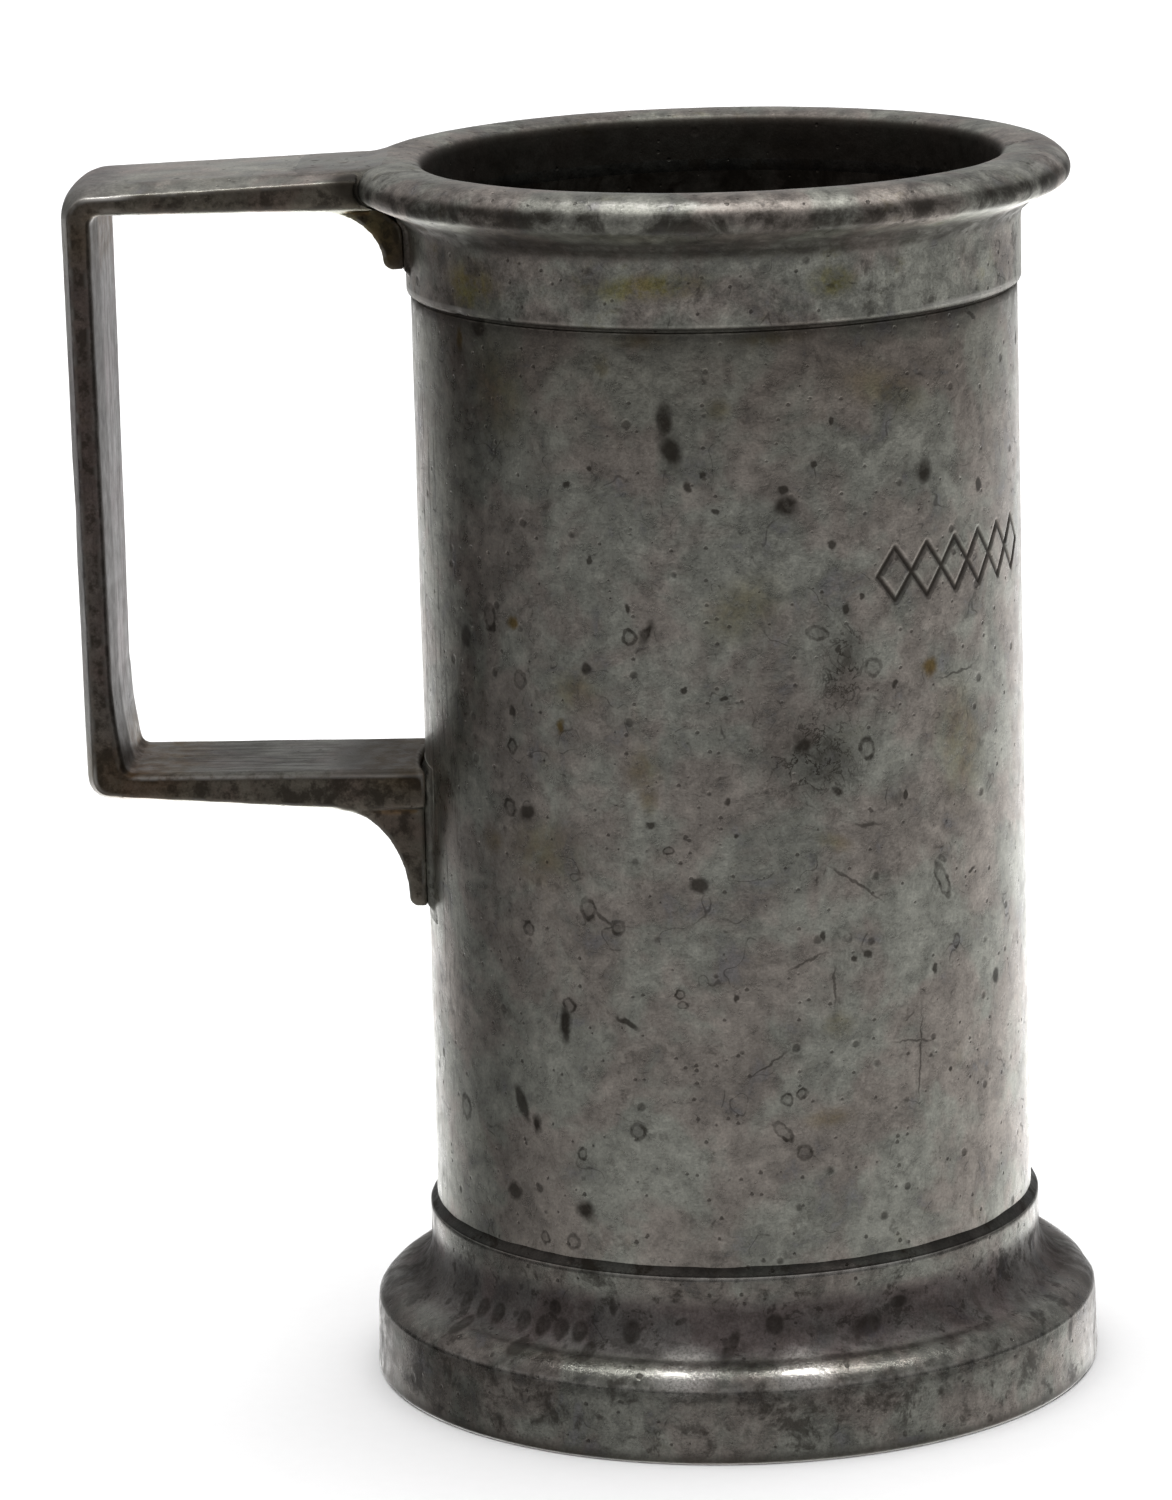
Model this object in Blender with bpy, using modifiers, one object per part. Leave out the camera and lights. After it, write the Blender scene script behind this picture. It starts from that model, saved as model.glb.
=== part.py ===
"""A pewter wine measure of two decilitres, in Blender units of one metre, +Z up.

Five castings are soldered together: a cylindrical barrel, a collar with the pouring lip, a moulded foot,
a base plate let into the barrel's lower end, and an angular strap handle with a bracket at each end.
The origin is on the resting surface, under the middle of the overall length, and the handle points to -X.
Turned pieces are described by (radius, height) profiles about the barrel's axis, the handle by an outline
of (reach, height) points, where reach is the distance from the barrel's axis towards the handle.
"""

from math import cos, dist, pi, radians, sin

import bmesh
import bpy

MM = 0.001

# Capacity: the measure is as deep inside as two bores.
BORE_RADIUS = 25.15 * MM
INNER_DEPTH = 4 * BORE_RADIUS
RIM_TOP = 109.6 * MM
FLOOR = RIM_TOP - INNER_DEPTH

# Barrel: it is turned down at both ends, to a spigot inside the collar and a seat inside the foot.
BARREL_RADIUS_TOP = 26.55 * MM
BARREL_RADIUS_FOOT = 26.75 * MM
SPIGOT_RADIUS = 25.9 * MM
SEAT_RADIUS = 26.2 * MM
PLATE_THICKNESS = 1.8 * MM
BARREL_END = FLOOR - PLATE_THICKNESS

# Collar and lip.
BAND_RADIUS = 26.95 * MM
BAND_BOTTOM = 97.9 * MM
SPIGOT_TOP = 104.2 * MM
LIP_RADIUS = 31.4 * MM
LIP_EDGE_TOP = 109.0 * MM
LIP_EDGE_BOTTOM = 106.2 * MM
MOUTH_ROUND = 1.0 * MM
COLLAR_COVE = 1.5 * MM
COLLAR_COVE_HEIGHT = 103.4 * MM
BAND_ROUND = 0.3 * MM

# Foot.
FOOT_RADIUS = 32.6 * MM
PLINTH_TOP = 6.6 * MM
FOOT_TOP = 15.3 * MM
FOOT_NECK_RADIUS = 27.45 * MM
FOOT_LAP_BOTTOM = 9.6 * MM
FOOT_WALL = 2.0 * MM
FOOT_FILLET = 1.0 * MM
FOOT_COVE = 3.6 * MM
FOOT_COVE_HEIGHT = 11.8 * MM
OVOLO = 4.05 * MM
OVOLO_CENTRE = (28.9 * MM, 4.5 * MM)

# Handle: a strap with a crowned outer face. Its reach is taken at its outer edges, from the barrel's axis.
EDGE_REACH = 56.1 * MM
STRAP_THICKNESS = 2.45 * MM
CROWN = 0.7 * MM
ROOT_CROWN = 0.3 * MM
STRAP_EDGE = 0.5 * MM
TOP_ARM_TOP = 109.0 * MM
TOP_ARM_DROP = 1.0 * MM
TOP_ARM_BOTTOM = 105.8 * MM
LOW_ARM_TOP = 55.9 * MM
LOW_ARM_BOTTOM = 53.5 * MM
LOW_ARM_ROOT = 52.0 * MM
LOW_FLARE = 0.8 * MM
TOP_ROUND = 2.5 * MM
TOP_FILLET = 0.8 * MM
LOW_ROUND = 1.8 * MM
LOW_FILLET = 0.7 * MM
WIDTH_TOP = 17.6 * MM
WIDTH_LOW = 14.0 * MM

# Brackets under the strap's two ends.
TOP_BRACKET_END = 100.3 * MM
TOP_BRACKET_REACH = 34.2 * MM
TOP_BRACKET_TIP = 28.4 * MM
TOP_BRACKET_WIDTH = 12.2 * MM
LOW_BRACKET_END = 43.3 * MM
LOW_BRACKET_REACH = 33.7 * MM
LOW_BRACKET_TIP = 28.0 * MM
LOW_BRACKET_WIDTH = 12.8 * MM

# Soldered joints: the gap between two castings, and the width of the solder seams beside it.
JOINT = 0.3 * MM
SEAM = 0.6 * MM
BASE_BEAD = 1.8 * MM

STEPS = 72
AXIS_X = (EDGE_REACH + CROWN - FOOT_RADIUS) / 2
PARTS = "two_decilitre_measure"
CUTTERS = "cutters"

PEWTER = {"color": (0.205, 0.200, 0.190, 1.0), "metallic": 0.85, "roughness": 0.42}
SOLDER = {"color": (0.110, 0.102, 0.092, 1.0), "metallic": 0.70, "roughness": 0.60}


def clear_scene():
    for obj in list(bpy.data.objects):
        bpy.data.objects.remove(obj, do_unlink=True)


def new_collection(name):
    collection = bpy.data.collections.new(name)
    bpy.context.scene.collection.children.link(collection)
    return collection


def new_material(name, finish):
    material = bpy.data.materials.new(name)
    material.use_nodes = True
    shader = material.node_tree.nodes["Principled BSDF"]
    shader.inputs["Base Color"].default_value = finish["color"]
    shader.inputs["Metallic"].default_value = finish["metallic"]
    shader.inputs["Roughness"].default_value = finish["roughness"]
    material.diffuse_color = finish["color"]
    return material


def arc(centre, radius, start, end, count):
    """Points of an arc about centre, from start to end in degrees, both ends included."""
    step = (end - start) / (count - 1)
    angles = [radians(start + step * i) for i in range(count)]
    return [(centre[0] + radius * cos(a), centre[1] + radius * sin(a)) for a in angles]


# --- Turned pieces ---------------------------------------------------------------------------------------


def turned(name, profile, collection, closed=True):
    """A piece turned about the barrel's axis: its profile runs down the outer side and up the inner side."""
    mesh = bpy.data.meshes.new(name)
    points = [(radius, 0.0, height) for radius, height in profile]
    edges = [(i, i + 1) for i in range(len(points) - 1)]
    if closed:
        edges.append((len(points) - 1, 0))
    mesh.from_pydata(points, edges, [])
    obj = bpy.data.objects.new(name, mesh)
    collection.objects.link(obj)
    obj.location.x = AXIS_X
    screw = obj.modifiers.new("turn", "SCREW")
    screw.steps = STEPS
    screw.render_steps = STEPS
    screw.use_merge_vertices = True
    screw.merge_threshold = 0.01 * MM
    screw.use_smooth_shade = True
    return obj


def lip_profile():
    """The outside of the collar, from the crown of the lip down to the band's lower edge."""
    crown = [(27.2 * MM, RIM_TOP), (28.4 * MM, RIM_TOP), (29.8 * MM, RIM_TOP - 0.15 * MM)]
    middle = (LIP_EDGE_TOP + LIP_EDGE_BOTTOM) / 2
    nose = (LIP_EDGE_TOP - LIP_EDGE_BOTTOM) / 2
    edge = arc((LIP_RADIUS - nose, middle), nose, 75, -65, 7)
    underside = [(29.3 * MM, 105.75 * MM), (28.2 * MM, 105.25 * MM)]
    cove = arc((BAND_RADIUS + COLLAR_COVE, COLLAR_COVE_HEIGHT), COLLAR_COVE, 110, 180, 4)
    band_edge = arc((BAND_RADIUS - BAND_ROUND, BAND_BOTTOM + BAND_ROUND), BAND_ROUND, 0, -90, 3)
    return crown + edge + underside + cove + band_edge


def build_barrel(collection):
    shoulder = BAND_BOTTOM - JOINT
    outside = [
        (SPIGOT_RADIUS, SPIGOT_TOP),
        (SPIGOT_RADIUS, shoulder),
        (BARREL_RADIUS_TOP, shoulder),
        (BARREL_RADIUS_FOOT, FOOT_TOP),
        (SEAT_RADIUS, FOOT_TOP),
        (SEAT_RADIUS, BARREL_END),
    ]
    inside = [(BORE_RADIUS, BARREL_END), (BORE_RADIUS, SPIGOT_TOP)]
    return turned("barrel", outside + inside, collection)


def build_collar(collection):
    rabbet = SPIGOT_RADIUS + JOINT
    ledge = SPIGOT_TOP + 2 * JOINT + SEAM
    inside = [(rabbet, BAND_BOTTOM), (rabbet, ledge), (BORE_RADIUS, ledge)]
    mouth_centre = (BORE_RADIUS + MOUTH_ROUND, RIM_TOP - 0.3 * MM - MOUTH_ROUND)
    mouth_round = arc(mouth_centre, MOUTH_ROUND, 180, 105, 4)
    return turned("rim_collar", lip_profile() + inside + mouth_round, collection)


def foot_outside():
    """Neck, cove, ovolo and plinth of the foot, from the top down."""
    cove = arc((FOOT_NECK_RADIUS + FOOT_COVE, FOOT_COVE_HEIGHT), FOOT_COVE, 180, 248, 7)
    ovolo = arc(OVOLO_CENTRE, OVOLO, 74, 31, 6)
    plinth = [
        (FOOT_RADIUS - 0.2 * MM, PLINTH_TOP - 0.3 * MM),
        (FOOT_RADIUS, 0.3 * MM),
        (FOOT_RADIUS - 0.25 * MM, 0.0),
    ]
    return [(FOOT_NECK_RADIUS, FOOT_TOP - JOINT)] + cove + ovolo + plinth


def build_foot(collection):
    lap = SEAT_RADIUS + JOINT
    inner = FOOT_RADIUS - FOOT_WALL
    inside = [
        (inner + 0.3 * MM, 0.0),
        (inner, 0.4 * MM),
        (inner - 0.3 * MM, 4.5 * MM),
        (inner - 1.6 * MM, 6.6 * MM),
        (lap, FOOT_LAP_BOTTOM),
        (lap, FOOT_TOP - JOINT),
    ]
    return turned("foot_ring", foot_outside() + inside, collection)


def build_base_plate(collection):
    edge = BORE_RADIUS - JOINT
    profile = [(0.0, FLOOR), (edge, FLOOR), (edge, BARREL_END), (0.0, BARREL_END)]
    return turned("base_plate", profile, collection, closed=False)


def build_collar_seam(collection):
    """Solder between the top of the barrel's spigot and the collar's ledge, flush with the bore."""
    low = SPIGOT_TOP + JOINT
    profile = [
        (SPIGOT_RADIUS, low + SEAM),
        (SPIGOT_RADIUS, low),
        (BORE_RADIUS, low),
        (BORE_RADIUS, low + SEAM),
    ]
    return turned("collar_solder", profile, collection)


def build_foot_seam(collection):
    """A sloping fillet in the corner between the barrel and the top of the foot."""
    inner = BARREL_RADIUS_FOOT + JOINT
    profile = [(inner, FOOT_TOP + FOOT_FILLET), (FOOT_NECK_RADIUS, FOOT_TOP), (inner, FOOT_TOP)]
    return turned("foot_solder", profile, collection)


def build_base_seam(collection):
    """A low bead under the joint between the base plate's edge and the barrel's lower end."""
    top = BARREL_END - JOINT
    half = BASE_BEAD / 2
    bead = arc((BORE_RADIUS, top), half, 0, -180, 7)
    flattened = [(radius, top + (height - top) * SEAM / half) for radius, height in bead]
    return turned("base_solder", flattened, collection)


# --- Handle ----------------------------------------------------------------------------------------------


def strap_stations():
    """Outer edge, inner edge and crown at each station of the strap, from the collar back to the barrel."""
    grip_inner = EDGE_REACH - STRAP_THICKNESS
    behind = 20.0 * MM
    outer_top = TOP_ARM_TOP - TOP_ARM_DROP
    top_outer = arc((EDGE_REACH - TOP_ROUND, outer_top - TOP_ROUND), TOP_ROUND, 90, 0, 7)
    top_inner = arc((grip_inner - TOP_FILLET, TOP_ARM_BOTTOM - TOP_FILLET), TOP_FILLET, 90, 0, 7)
    low_outer = arc((EDGE_REACH - LOW_ROUND, LOW_ARM_BOTTOM + LOW_ROUND), LOW_ROUND, 0, -90, 7)
    fillet_reach = grip_inner - LOW_FLARE - LOW_FILLET
    low_inner = arc((fillet_reach, LOW_ARM_TOP + LOW_FILLET), LOW_FILLET, 0, -90, 7)
    top_ends = (behind, LIP_RADIUS)
    stations = [((reach, TOP_ARM_TOP), (reach, TOP_ARM_BOTTOM), ROOT_CROWN) for reach in top_ends]
    stations += [(outer, inner, CROWN) for outer, inner in zip(top_outer, top_inner)]
    for share, lean in ((0.5, 0.0), (0.85, 0.0), (0.93, 0.35)):
        height = top_inner[-1][1] + (low_inner[0][1] - top_inner[-1][1]) * share
        stations.append(((EDGE_REACH, height), (grip_inner - lean * LOW_FLARE, height), CROWN))
    stations += [(outer, inner, CROWN) for outer, inner in zip(low_outer, low_inner)]
    low_ends = (LOW_BRACKET_REACH, behind)
    stations += [((reach, LOW_ARM_ROOT), (reach, LOW_ARM_TOP), ROOT_CROWN) for reach in low_ends]
    return stations


def strap_width(height):
    """The strap keeps its width along each arm and narrows down the grip."""
    share = (height - LOW_ARM_TOP) / (TOP_ARM_BOTTOM - LOW_ARM_TOP)
    return WIDTH_LOW + (WIDTH_TOP - WIDTH_LOW) * min(1.0, max(0.0, share))


def strap_section(width, thickness, crown):
    """(across, out) points round the strap: a flat inner face, eased edges and a crowned outer face."""
    half = width / 2
    shares = (0.7, 0.35, 0.0, -0.35, -0.7)
    crest = [(half * share, thickness + crown * (1 - share * share)) for share in shares]
    front = [(half - STRAP_EDGE, 0.0), (half, STRAP_EDGE), (half, thickness - STRAP_EDGE)]
    back = [(-across, out) for across, out in front[::-1]]
    return front + crest + back


def build_strap(collection):
    """The strap, lofted through a section at each station, because its width and thickness both change."""
    shape = bmesh.new()
    rings = []
    for outer, inner, crown in strap_stations():
        thickness = dist(outer, inner)
        out_reach = (outer[0] - inner[0]) / thickness
        out_height = (outer[1] - inner[1]) / thickness
        section = strap_section(strap_width(inner[1]), thickness, crown)
        ring = [
            shape.verts.new((-(inner[0] + out_reach * out), across, inner[1] + out_height * out))
            for across, out in section
        ]
        rings.append(ring)
    count = len(rings[0])
    for ring, following in zip(rings, rings[1:]):
        for i in range(count):
            j = (i + 1) % count
            shape.faces.new((ring[i], ring[j], following[j], following[i]))
    shape.faces.new(rings[0])
    shape.faces.new(rings[-1])
    bmesh.ops.recalc_face_normals(shape, faces=shape.faces)
    mesh = bpy.data.meshes.new("handle")
    shape.to_mesh(mesh)
    shape.free()
    mesh.shade_smooth()
    mesh.set_sharp_from_angle(angle=radians(32))
    strap = bpy.data.objects.new("handle", mesh)
    collection.objects.link(strap)
    strap.location.x = AXIS_X
    return strap


def bracket_outline(tip_reach, end_height, arm_reach, arm_height):
    """A bracket's side view: a blunt tip at the barrel and a hollow curve out to the arm's underside."""
    behind = 22.0 * MM
    inside_arm = arm_height + MM
    blunt = 0.5 * MM
    rise = arm_height - end_height - blunt
    run = arm_reach - tip_reach
    count = 8
    angles = [pi / 2 * i / count for i in range(count + 1)]
    curve = [(tip_reach + run * (1 - cos(a)), end_height + blunt + rise * sin(a)) for a in angles]
    tip = [(behind, end_height), (tip_reach - blunt, end_height)]
    return tip + curve + [(arm_reach, inside_arm), (behind, inside_arm)]


def bracket_width(reach, end_width, arm_reach, arm_width):
    """A bracket narrows evenly towards the barrel."""
    share = (reach - BARREL_RADIUS_FOOT) / (arm_reach - BARREL_RADIUS_FOOT)
    return end_width + (arm_width - end_width) * share


def flat_plate(name, outline, near, far, collection):
    """A filled outline in the upright plane, made solid between the distances near and far across it."""
    curve = bpy.data.curves.new(name, "CURVE")
    curve.dimensions = "2D"
    curve.fill_mode = "BOTH"
    curve.extrude = MM
    spline = curve.splines.new("POLY")
    spline.points.add(len(outline) - 1)
    for point, (along, height) in zip(spline.points, outline):
        point.co = (along, height, 0.0, 1.0)
    spline.use_cyclic_u = True
    drawn = bpy.data.objects.new(name + "_outline", curve)
    bpy.context.scene.collection.objects.link(drawn)
    drawn.rotation_euler.x = pi / 2
    bpy.context.view_layer.update()
    graph = bpy.context.evaluated_depsgraph_get()
    mesh = bpy.data.meshes.new_from_object(drawn.evaluated_get(graph))
    mesh.name = name
    obj = bpy.data.objects.new(name, mesh)
    obj.matrix_world = drawn.matrix_world.copy()
    bpy.data.objects.remove(drawn)
    collection.objects.link(obj)
    obj.location.x = AXIS_X
    shape = bmesh.new()
    shape.from_mesh(mesh)
    bmesh.ops.remove_doubles(shape, verts=shape.verts, dist=0.005 * MM)
    for vertex in shape.verts:
        across = far if vertex.co.z > 0 else near
        vertex.co.z = across(vertex.co.x)
    bmesh.ops.dissolve_limit(shape, angle_limit=radians(1), verts=shape.verts, edges=shape.edges)
    bmesh.ops.recalc_face_normals(shape, faces=shape.faces)
    shape.to_mesh(mesh)
    shape.free()
    return obj


def build_bracket(name, tip_reach, end_height, end_width, arm_reach, arm_height, arm_width, collection):
    """A solid bracket, a little narrower than the arm that it runs into."""
    def half_width(along):
        return bracket_width(-along, end_width, arm_reach, arm_width - STRAP_EDGE) / 2

    outline = bracket_outline(tip_reach, end_height, arm_reach, arm_height)
    bracket = flat_plate(
        name,
        [(-reach, height) for reach, height in outline],
        lambda along: -half_width(along),
        half_width,
        collection,
    )
    hide_cutter(bracket)
    return bracket


def add_boolean(obj, other, operation):
    modifier = obj.modifiers.new(operation.lower() + "_" + other.name, "BOOLEAN")
    modifier.operation = operation
    modifier.object = other
    modifier.solver = "EXACT"


def hide_cutter(obj):
    obj.hide_render = True
    obj.display_type = "WIRE"


def body_cutter(name, gap, cutters):
    """The outside of barrel and collar, swollen by gap and closed to the axis, to cut what is soldered on."""
    above = RIM_TOP + 2 * MM
    below = LOW_BRACKET_END - 5 * MM
    step = BAND_BOTTOM - gap
    outside = lip_profile()[2:]
    profile = [(0.0, above), (outside[0][0], above)]
    profile += [(radius + gap, height) for radius, height in outside]
    profile += [(BARREL_RADIUS_FOOT + gap, step), (BARREL_RADIUS_FOOT + gap, below), (0.0, below)]
    cutter = turned(name, profile, cutters, closed=False)
    hide_cutter(cutter)
    return cutter


def build_handle(collection, cutters):
    handle = build_strap(collection)
    top_bracket = build_bracket(
        "top_bracket",
        TOP_BRACKET_TIP,
        TOP_BRACKET_END,
        TOP_BRACKET_WIDTH,
        TOP_BRACKET_REACH,
        TOP_ARM_BOTTOM,
        WIDTH_TOP,
        cutters,
    )
    low_bracket = build_bracket(
        "low_bracket",
        LOW_BRACKET_TIP,
        LOW_BRACKET_END,
        LOW_BRACKET_WIDTH,
        LOW_BRACKET_REACH,
        LOW_ARM_ROOT,
        WIDTH_LOW,
        cutters,
    )
    add_boolean(handle, top_bracket, "UNION")
    add_boolean(handle, low_bracket, "UNION")
    add_boolean(handle, body_cutter("handle_end_cutter", JOINT, cutters), "DIFFERENCE")
    return handle


def bracket_block(name, width, low, high, cutters):
    """A block that takes in a bracket's end: as wide as width, from low to high, on the handle's side."""
    outline = [(-width / 2, low), (width / 2, low), (width / 2, high), (-width / 2, high)]
    block = flat_plate(name, outline, lambda across: 10 * MM, lambda across: 40 * MM, cutters)
    block.rotation_euler.z = -pi / 2
    hide_cutter(block)
    return block


def build_bracket_seam(name, radius, width, bottom, top, hole_top, collection, cutters):
    """A fillet of solder round a bracket's end: a frame bent to the body, cut from a short tube."""
    inner = radius + JOINT
    outer = inner + SEAM
    seam = turned(name, [(outer, top), (outer, bottom), (inner, bottom), (inner, top)], collection)
    hole_width = width + 2 * JOINT
    keep = bracket_block(name + "_outside", hole_width + 2 * SEAM, bottom - MM, top + MM, cutters)
    hole = bracket_block(name + "_inside", hole_width, bottom + SEAM, hole_top, cutters)
    add_boolean(seam, keep, "INTERSECT")
    add_boolean(seam, hole, "DIFFERENCE")
    return seam


def build_upper_bracket_seam(collection, cutters):
    """Under and beside the upper bracket, open at the top where the collar curves out into its lip."""
    width = bracket_width(BAND_RADIUS + JOINT + SEAM, TOP_BRACKET_WIDTH, TOP_BRACKET_REACH, WIDTH_TOP)
    bottom = TOP_BRACKET_END - JOINT - SEAM
    top = 103.2 * MM
    return build_bracket_seam(
        "handle_upper_solder", BAND_RADIUS, width, bottom, top, top + MM, collection, cutters
    )


def build_lower_bracket_seam(collection, cutters):
    """All round the lower bracket and the end of the lower arm."""
    bottom = LOW_BRACKET_END - JOINT - SEAM
    hole_top = LOW_ARM_TOP + JOINT
    top = hole_top + SEAM
    return build_bracket_seam(
        "handle_lower_solder", BARREL_RADIUS_FOOT, WIDTH_LOW, bottom, top, hole_top, collection, cutters
    )


# --- Assembly --------------------------------------------------------------------------------------------


def main():
    clear_scene()
    parts = new_collection(PARTS)
    cutters = new_collection(CUTTERS)
    castings = [
        build_barrel(parts),
        build_collar(parts),
        build_foot(parts),
        build_base_plate(parts),
        build_handle(parts, cutters),
    ]
    seams = [
        build_collar_seam(parts),
        build_foot_seam(parts),
        build_base_seam(parts),
        build_upper_bracket_seam(parts, cutters),
        build_lower_bracket_seam(parts, cutters),
    ]
    for obj in castings:
        obj.data.materials.append(new_material(obj.name + "_pewter", PEWTER))
    for obj in seams:
        obj.data.materials.append(new_material(obj.name + "_solder", SOLDER))


main()
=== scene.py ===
"""Looks of an old pewter wine measure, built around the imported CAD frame.

Every casting and solder joint is rebuilt as a finer piece: worn, dented and pitted surfaces, an ornament
cut into the barrel, and solder that fills its joints. Lengths are in metres, and mm() gives millimetres.
Angles about the barrel's axis are measured from the front (-Y), positive to the right (+X), in degrees.
"""

from math import ceil, cos, dist, exp, hypot, pi, radians, sin, sqrt

import bmesh
import bpy
import numpy as np
from mathutils import Matrix, Vector, noise
from mathutils.bvhtree import BVHTree


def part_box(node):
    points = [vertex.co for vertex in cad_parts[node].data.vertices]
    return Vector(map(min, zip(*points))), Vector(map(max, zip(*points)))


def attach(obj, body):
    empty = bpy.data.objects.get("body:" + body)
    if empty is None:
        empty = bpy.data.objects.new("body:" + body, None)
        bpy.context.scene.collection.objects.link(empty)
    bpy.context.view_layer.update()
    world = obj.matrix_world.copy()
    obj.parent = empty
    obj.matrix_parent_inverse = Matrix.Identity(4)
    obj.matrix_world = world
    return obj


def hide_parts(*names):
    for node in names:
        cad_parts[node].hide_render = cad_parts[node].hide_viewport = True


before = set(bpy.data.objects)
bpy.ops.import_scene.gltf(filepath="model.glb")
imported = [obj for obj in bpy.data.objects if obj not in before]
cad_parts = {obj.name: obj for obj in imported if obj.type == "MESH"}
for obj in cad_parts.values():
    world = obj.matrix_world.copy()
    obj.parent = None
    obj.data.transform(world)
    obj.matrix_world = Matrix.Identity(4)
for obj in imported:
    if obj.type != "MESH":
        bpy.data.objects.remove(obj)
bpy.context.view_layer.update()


def mm(value):
    return value * 0.001


# --- Sizes, from the frame ---

BARREL_LOW, BARREL_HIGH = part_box("barrel")
COLLAR_LOW, COLLAR_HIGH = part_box("rim_collar")
FOOT_LOW, FOOT_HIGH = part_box("foot_ring")
PLATE_LOW, PLATE_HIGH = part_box("base_plate")
HANDLE_LOW, HANDLE_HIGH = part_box("handle")

AXIS_X = (BARREL_LOW.x + BARREL_HIGH.x) / 2
BARREL_FOOT = (BARREL_HIGH.x - BARREL_LOW.x) / 2
BARREL_TOP = BARREL_FOOT - mm(0.2)
LIP = (COLLAR_HIGH.x - COLLAR_LOW.x) / 2
FOOT = (FOOT_HIGH.x - FOOT_LOW.x) / 2
BORE = (PLATE_HIGH.x - PLATE_LOW.x) / 2 + mm(0.3)
RIM = COLLAR_HIGH.z
BAND_BOTTOM = COLLAR_LOW.z
FLOOR = PLATE_HIGH.z
PLATE_BOTTOM = PLATE_LOW.z
FOOT_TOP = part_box("foot_solder")[0].z
ARM_HALF_WIDTH = (HANDLE_HIGH.y - HANDLE_LOW.y) / 2

# The barrel's axis and the grip's outer face along X, in millimetres, for the materials.
AXIS = AXIS_X * 1000
GRIP = HANDLE_LOW.x * 1000


def add_object(name, data):
    made = bpy.data.objects.new(name, data)
    bpy.context.scene.collection.objects.link(made)
    return made


# --- Points and profiles ---


def around(angle, radius, height):
    """The point at an angle from the front, in degrees, about the barrel's axis."""
    turn = radians(angle)
    return Vector((AXIS_X + radius * sin(turn), -radius * cos(turn), height))


def arc(centre, radius, start, end, count):
    step = (end - start) / (count - 1)
    turns = [radians(start + step * i) for i in range(count)]
    return [(centre[0] + radius * cos(a), centre[1] + radius * sin(a)) for a in turns]


def divided(points, step):
    """The same open outline with no stretch longer than step, without its last point."""
    made = []
    for start, end in zip(points, points[1:]):
        count = max(1, ceil(dist(start, end) / step))
        for i in range(count):
            share = i / count
            made.append((start[0] + (end[0] - start[0]) * share, start[1] + (end[1] - start[1]) * share))
    return made


def softened(points, rounds):
    """Corner cutting, which keeps the two end points."""
    for _ in range(rounds):
        cut = [points[0]]
        for start, end in zip(points, points[1:]):
            for share in (0.25, 0.75):
                cut.append(tuple(a + (b - a) * share for a, b in zip(start, end)))
        points = cut + [points[-1]]
    return points


def smooth(low, high, value):
    share = min(1.0, max(0.0, (value - low) / (high - low)))
    return share * share * (3 - 2 * share)


# --- Relief ---


def waves(point, size, seed=0.0):
    """Smooth noise from -1 to 1 with features of about a size in millimetres."""
    return noise.noise(point / mm(size) + Vector((seed, seed * 1.7, -seed)))


def dents(point, places):
    """How far the surface sinks at a point. Each place is a centre, and a radius and depth in millimetres."""
    sunk = 0.0
    for centre, radius, depth in places:
        sunk += mm(depth) * exp(-((point - centre).length / mm(radius)) ** 2)
    return sunk


# --- Mesh makers ---


def piece(name, vertices, faces, nodes, attributes=None):
    """A smooth-shaded piece that stands for CAD nodes and rides with the body."""
    mesh = bpy.data.meshes.new(name)
    mesh.from_pydata([tuple(v) for v in vertices], [], faces)
    shape = bmesh.new()
    shape.from_mesh(mesh)
    bmesh.ops.recalc_face_normals(shape, faces=shape.faces)
    shape.to_mesh(mesh)
    shape.free()
    for key, values in (attributes or {}).items():
        mesh.attributes.new(key, "FLOAT", "POINT").data.foreach_set("value", values)
    mesh.shade_smooth()
    mesh.set_sharp_from_angle(angle=radians(50))
    obj = add_object(name, mesh)
    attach(obj, "root")
    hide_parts(*nodes)
    return obj


def grid_faces(rows, columns, wrap_rows, wrap_columns):
    """Quads between neighbouring rows and columns of a grid of points."""
    faces = []
    for i in range(rows if wrap_rows else rows - 1):
        for j in range(columns if wrap_columns else columns - 1):
            i2, j2 = (i + 1) % rows, (j + 1) % columns
            faces.append((i * columns + j, i * columns + j2, i2 * columns + j2, i2 * columns + j))
    return faces


def turned(name, profile, angles, relief, nodes, extra=None):
    """A closed profile of (radius, height) turned about the axis, each point moved out by its relief."""
    count = len(profile)
    vertices = []
    values = {key: [] for key in extra or {}}
    for i, (radius, height) in enumerate(profile):
        before, after = profile[i - 1], profile[(i + 1) % count]
        along = (after[0] - before[0], after[1] - before[1])
        length = hypot(*along) or 1.0
        out, up = -along[1] / length, along[0] / length
        for angle in angles:
            point = around(angle, radius, height)
            move = relief(point, angle, radius, height)
            vertices.append(around(angle, radius + out * move, height + up * move))
            for key, measure in (extra or {}).items():
                values[key].append(measure(point, angle, radius, height))
    faces = grid_faces(count, len(angles), True, True)
    return piece(name, vertices, faces, nodes, values)


def slab(name, rows, columns, outer, inner, nodes):
    """A closed slab between two surfaces, each a function of two shares from 0 to 1."""
    shares = [(i / (rows - 1), j / (columns - 1)) for i in range(rows) for j in range(columns)]
    vertices = [outer(u, v) for u, v in shares] + [inner(u, v) for u, v in shares]
    top = grid_faces(rows, columns, False, False)
    under = rows * columns
    faces = top + [tuple(under + k for k in reversed(face)) for face in top]
    edge = list(range(columns))
    edge += [i * columns + columns - 1 for i in range(1, rows)]
    edge += [(rows - 1) * columns + j for j in range(columns - 2, -1, -1)]
    edge += [i * columns for i in range(rows - 2, 0, -1)]
    for k, here in enumerate(edge):
        following = edge[(k + 1) % len(edge)]
        faces.append((here, here + under, following + under, following))
    return piece(name, vertices, faces, nodes)


def even_angles(step):
    count = round(360 / step)
    return [-180 + 360 * i / count for i in range(count)]


# --- Barrel ---

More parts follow.
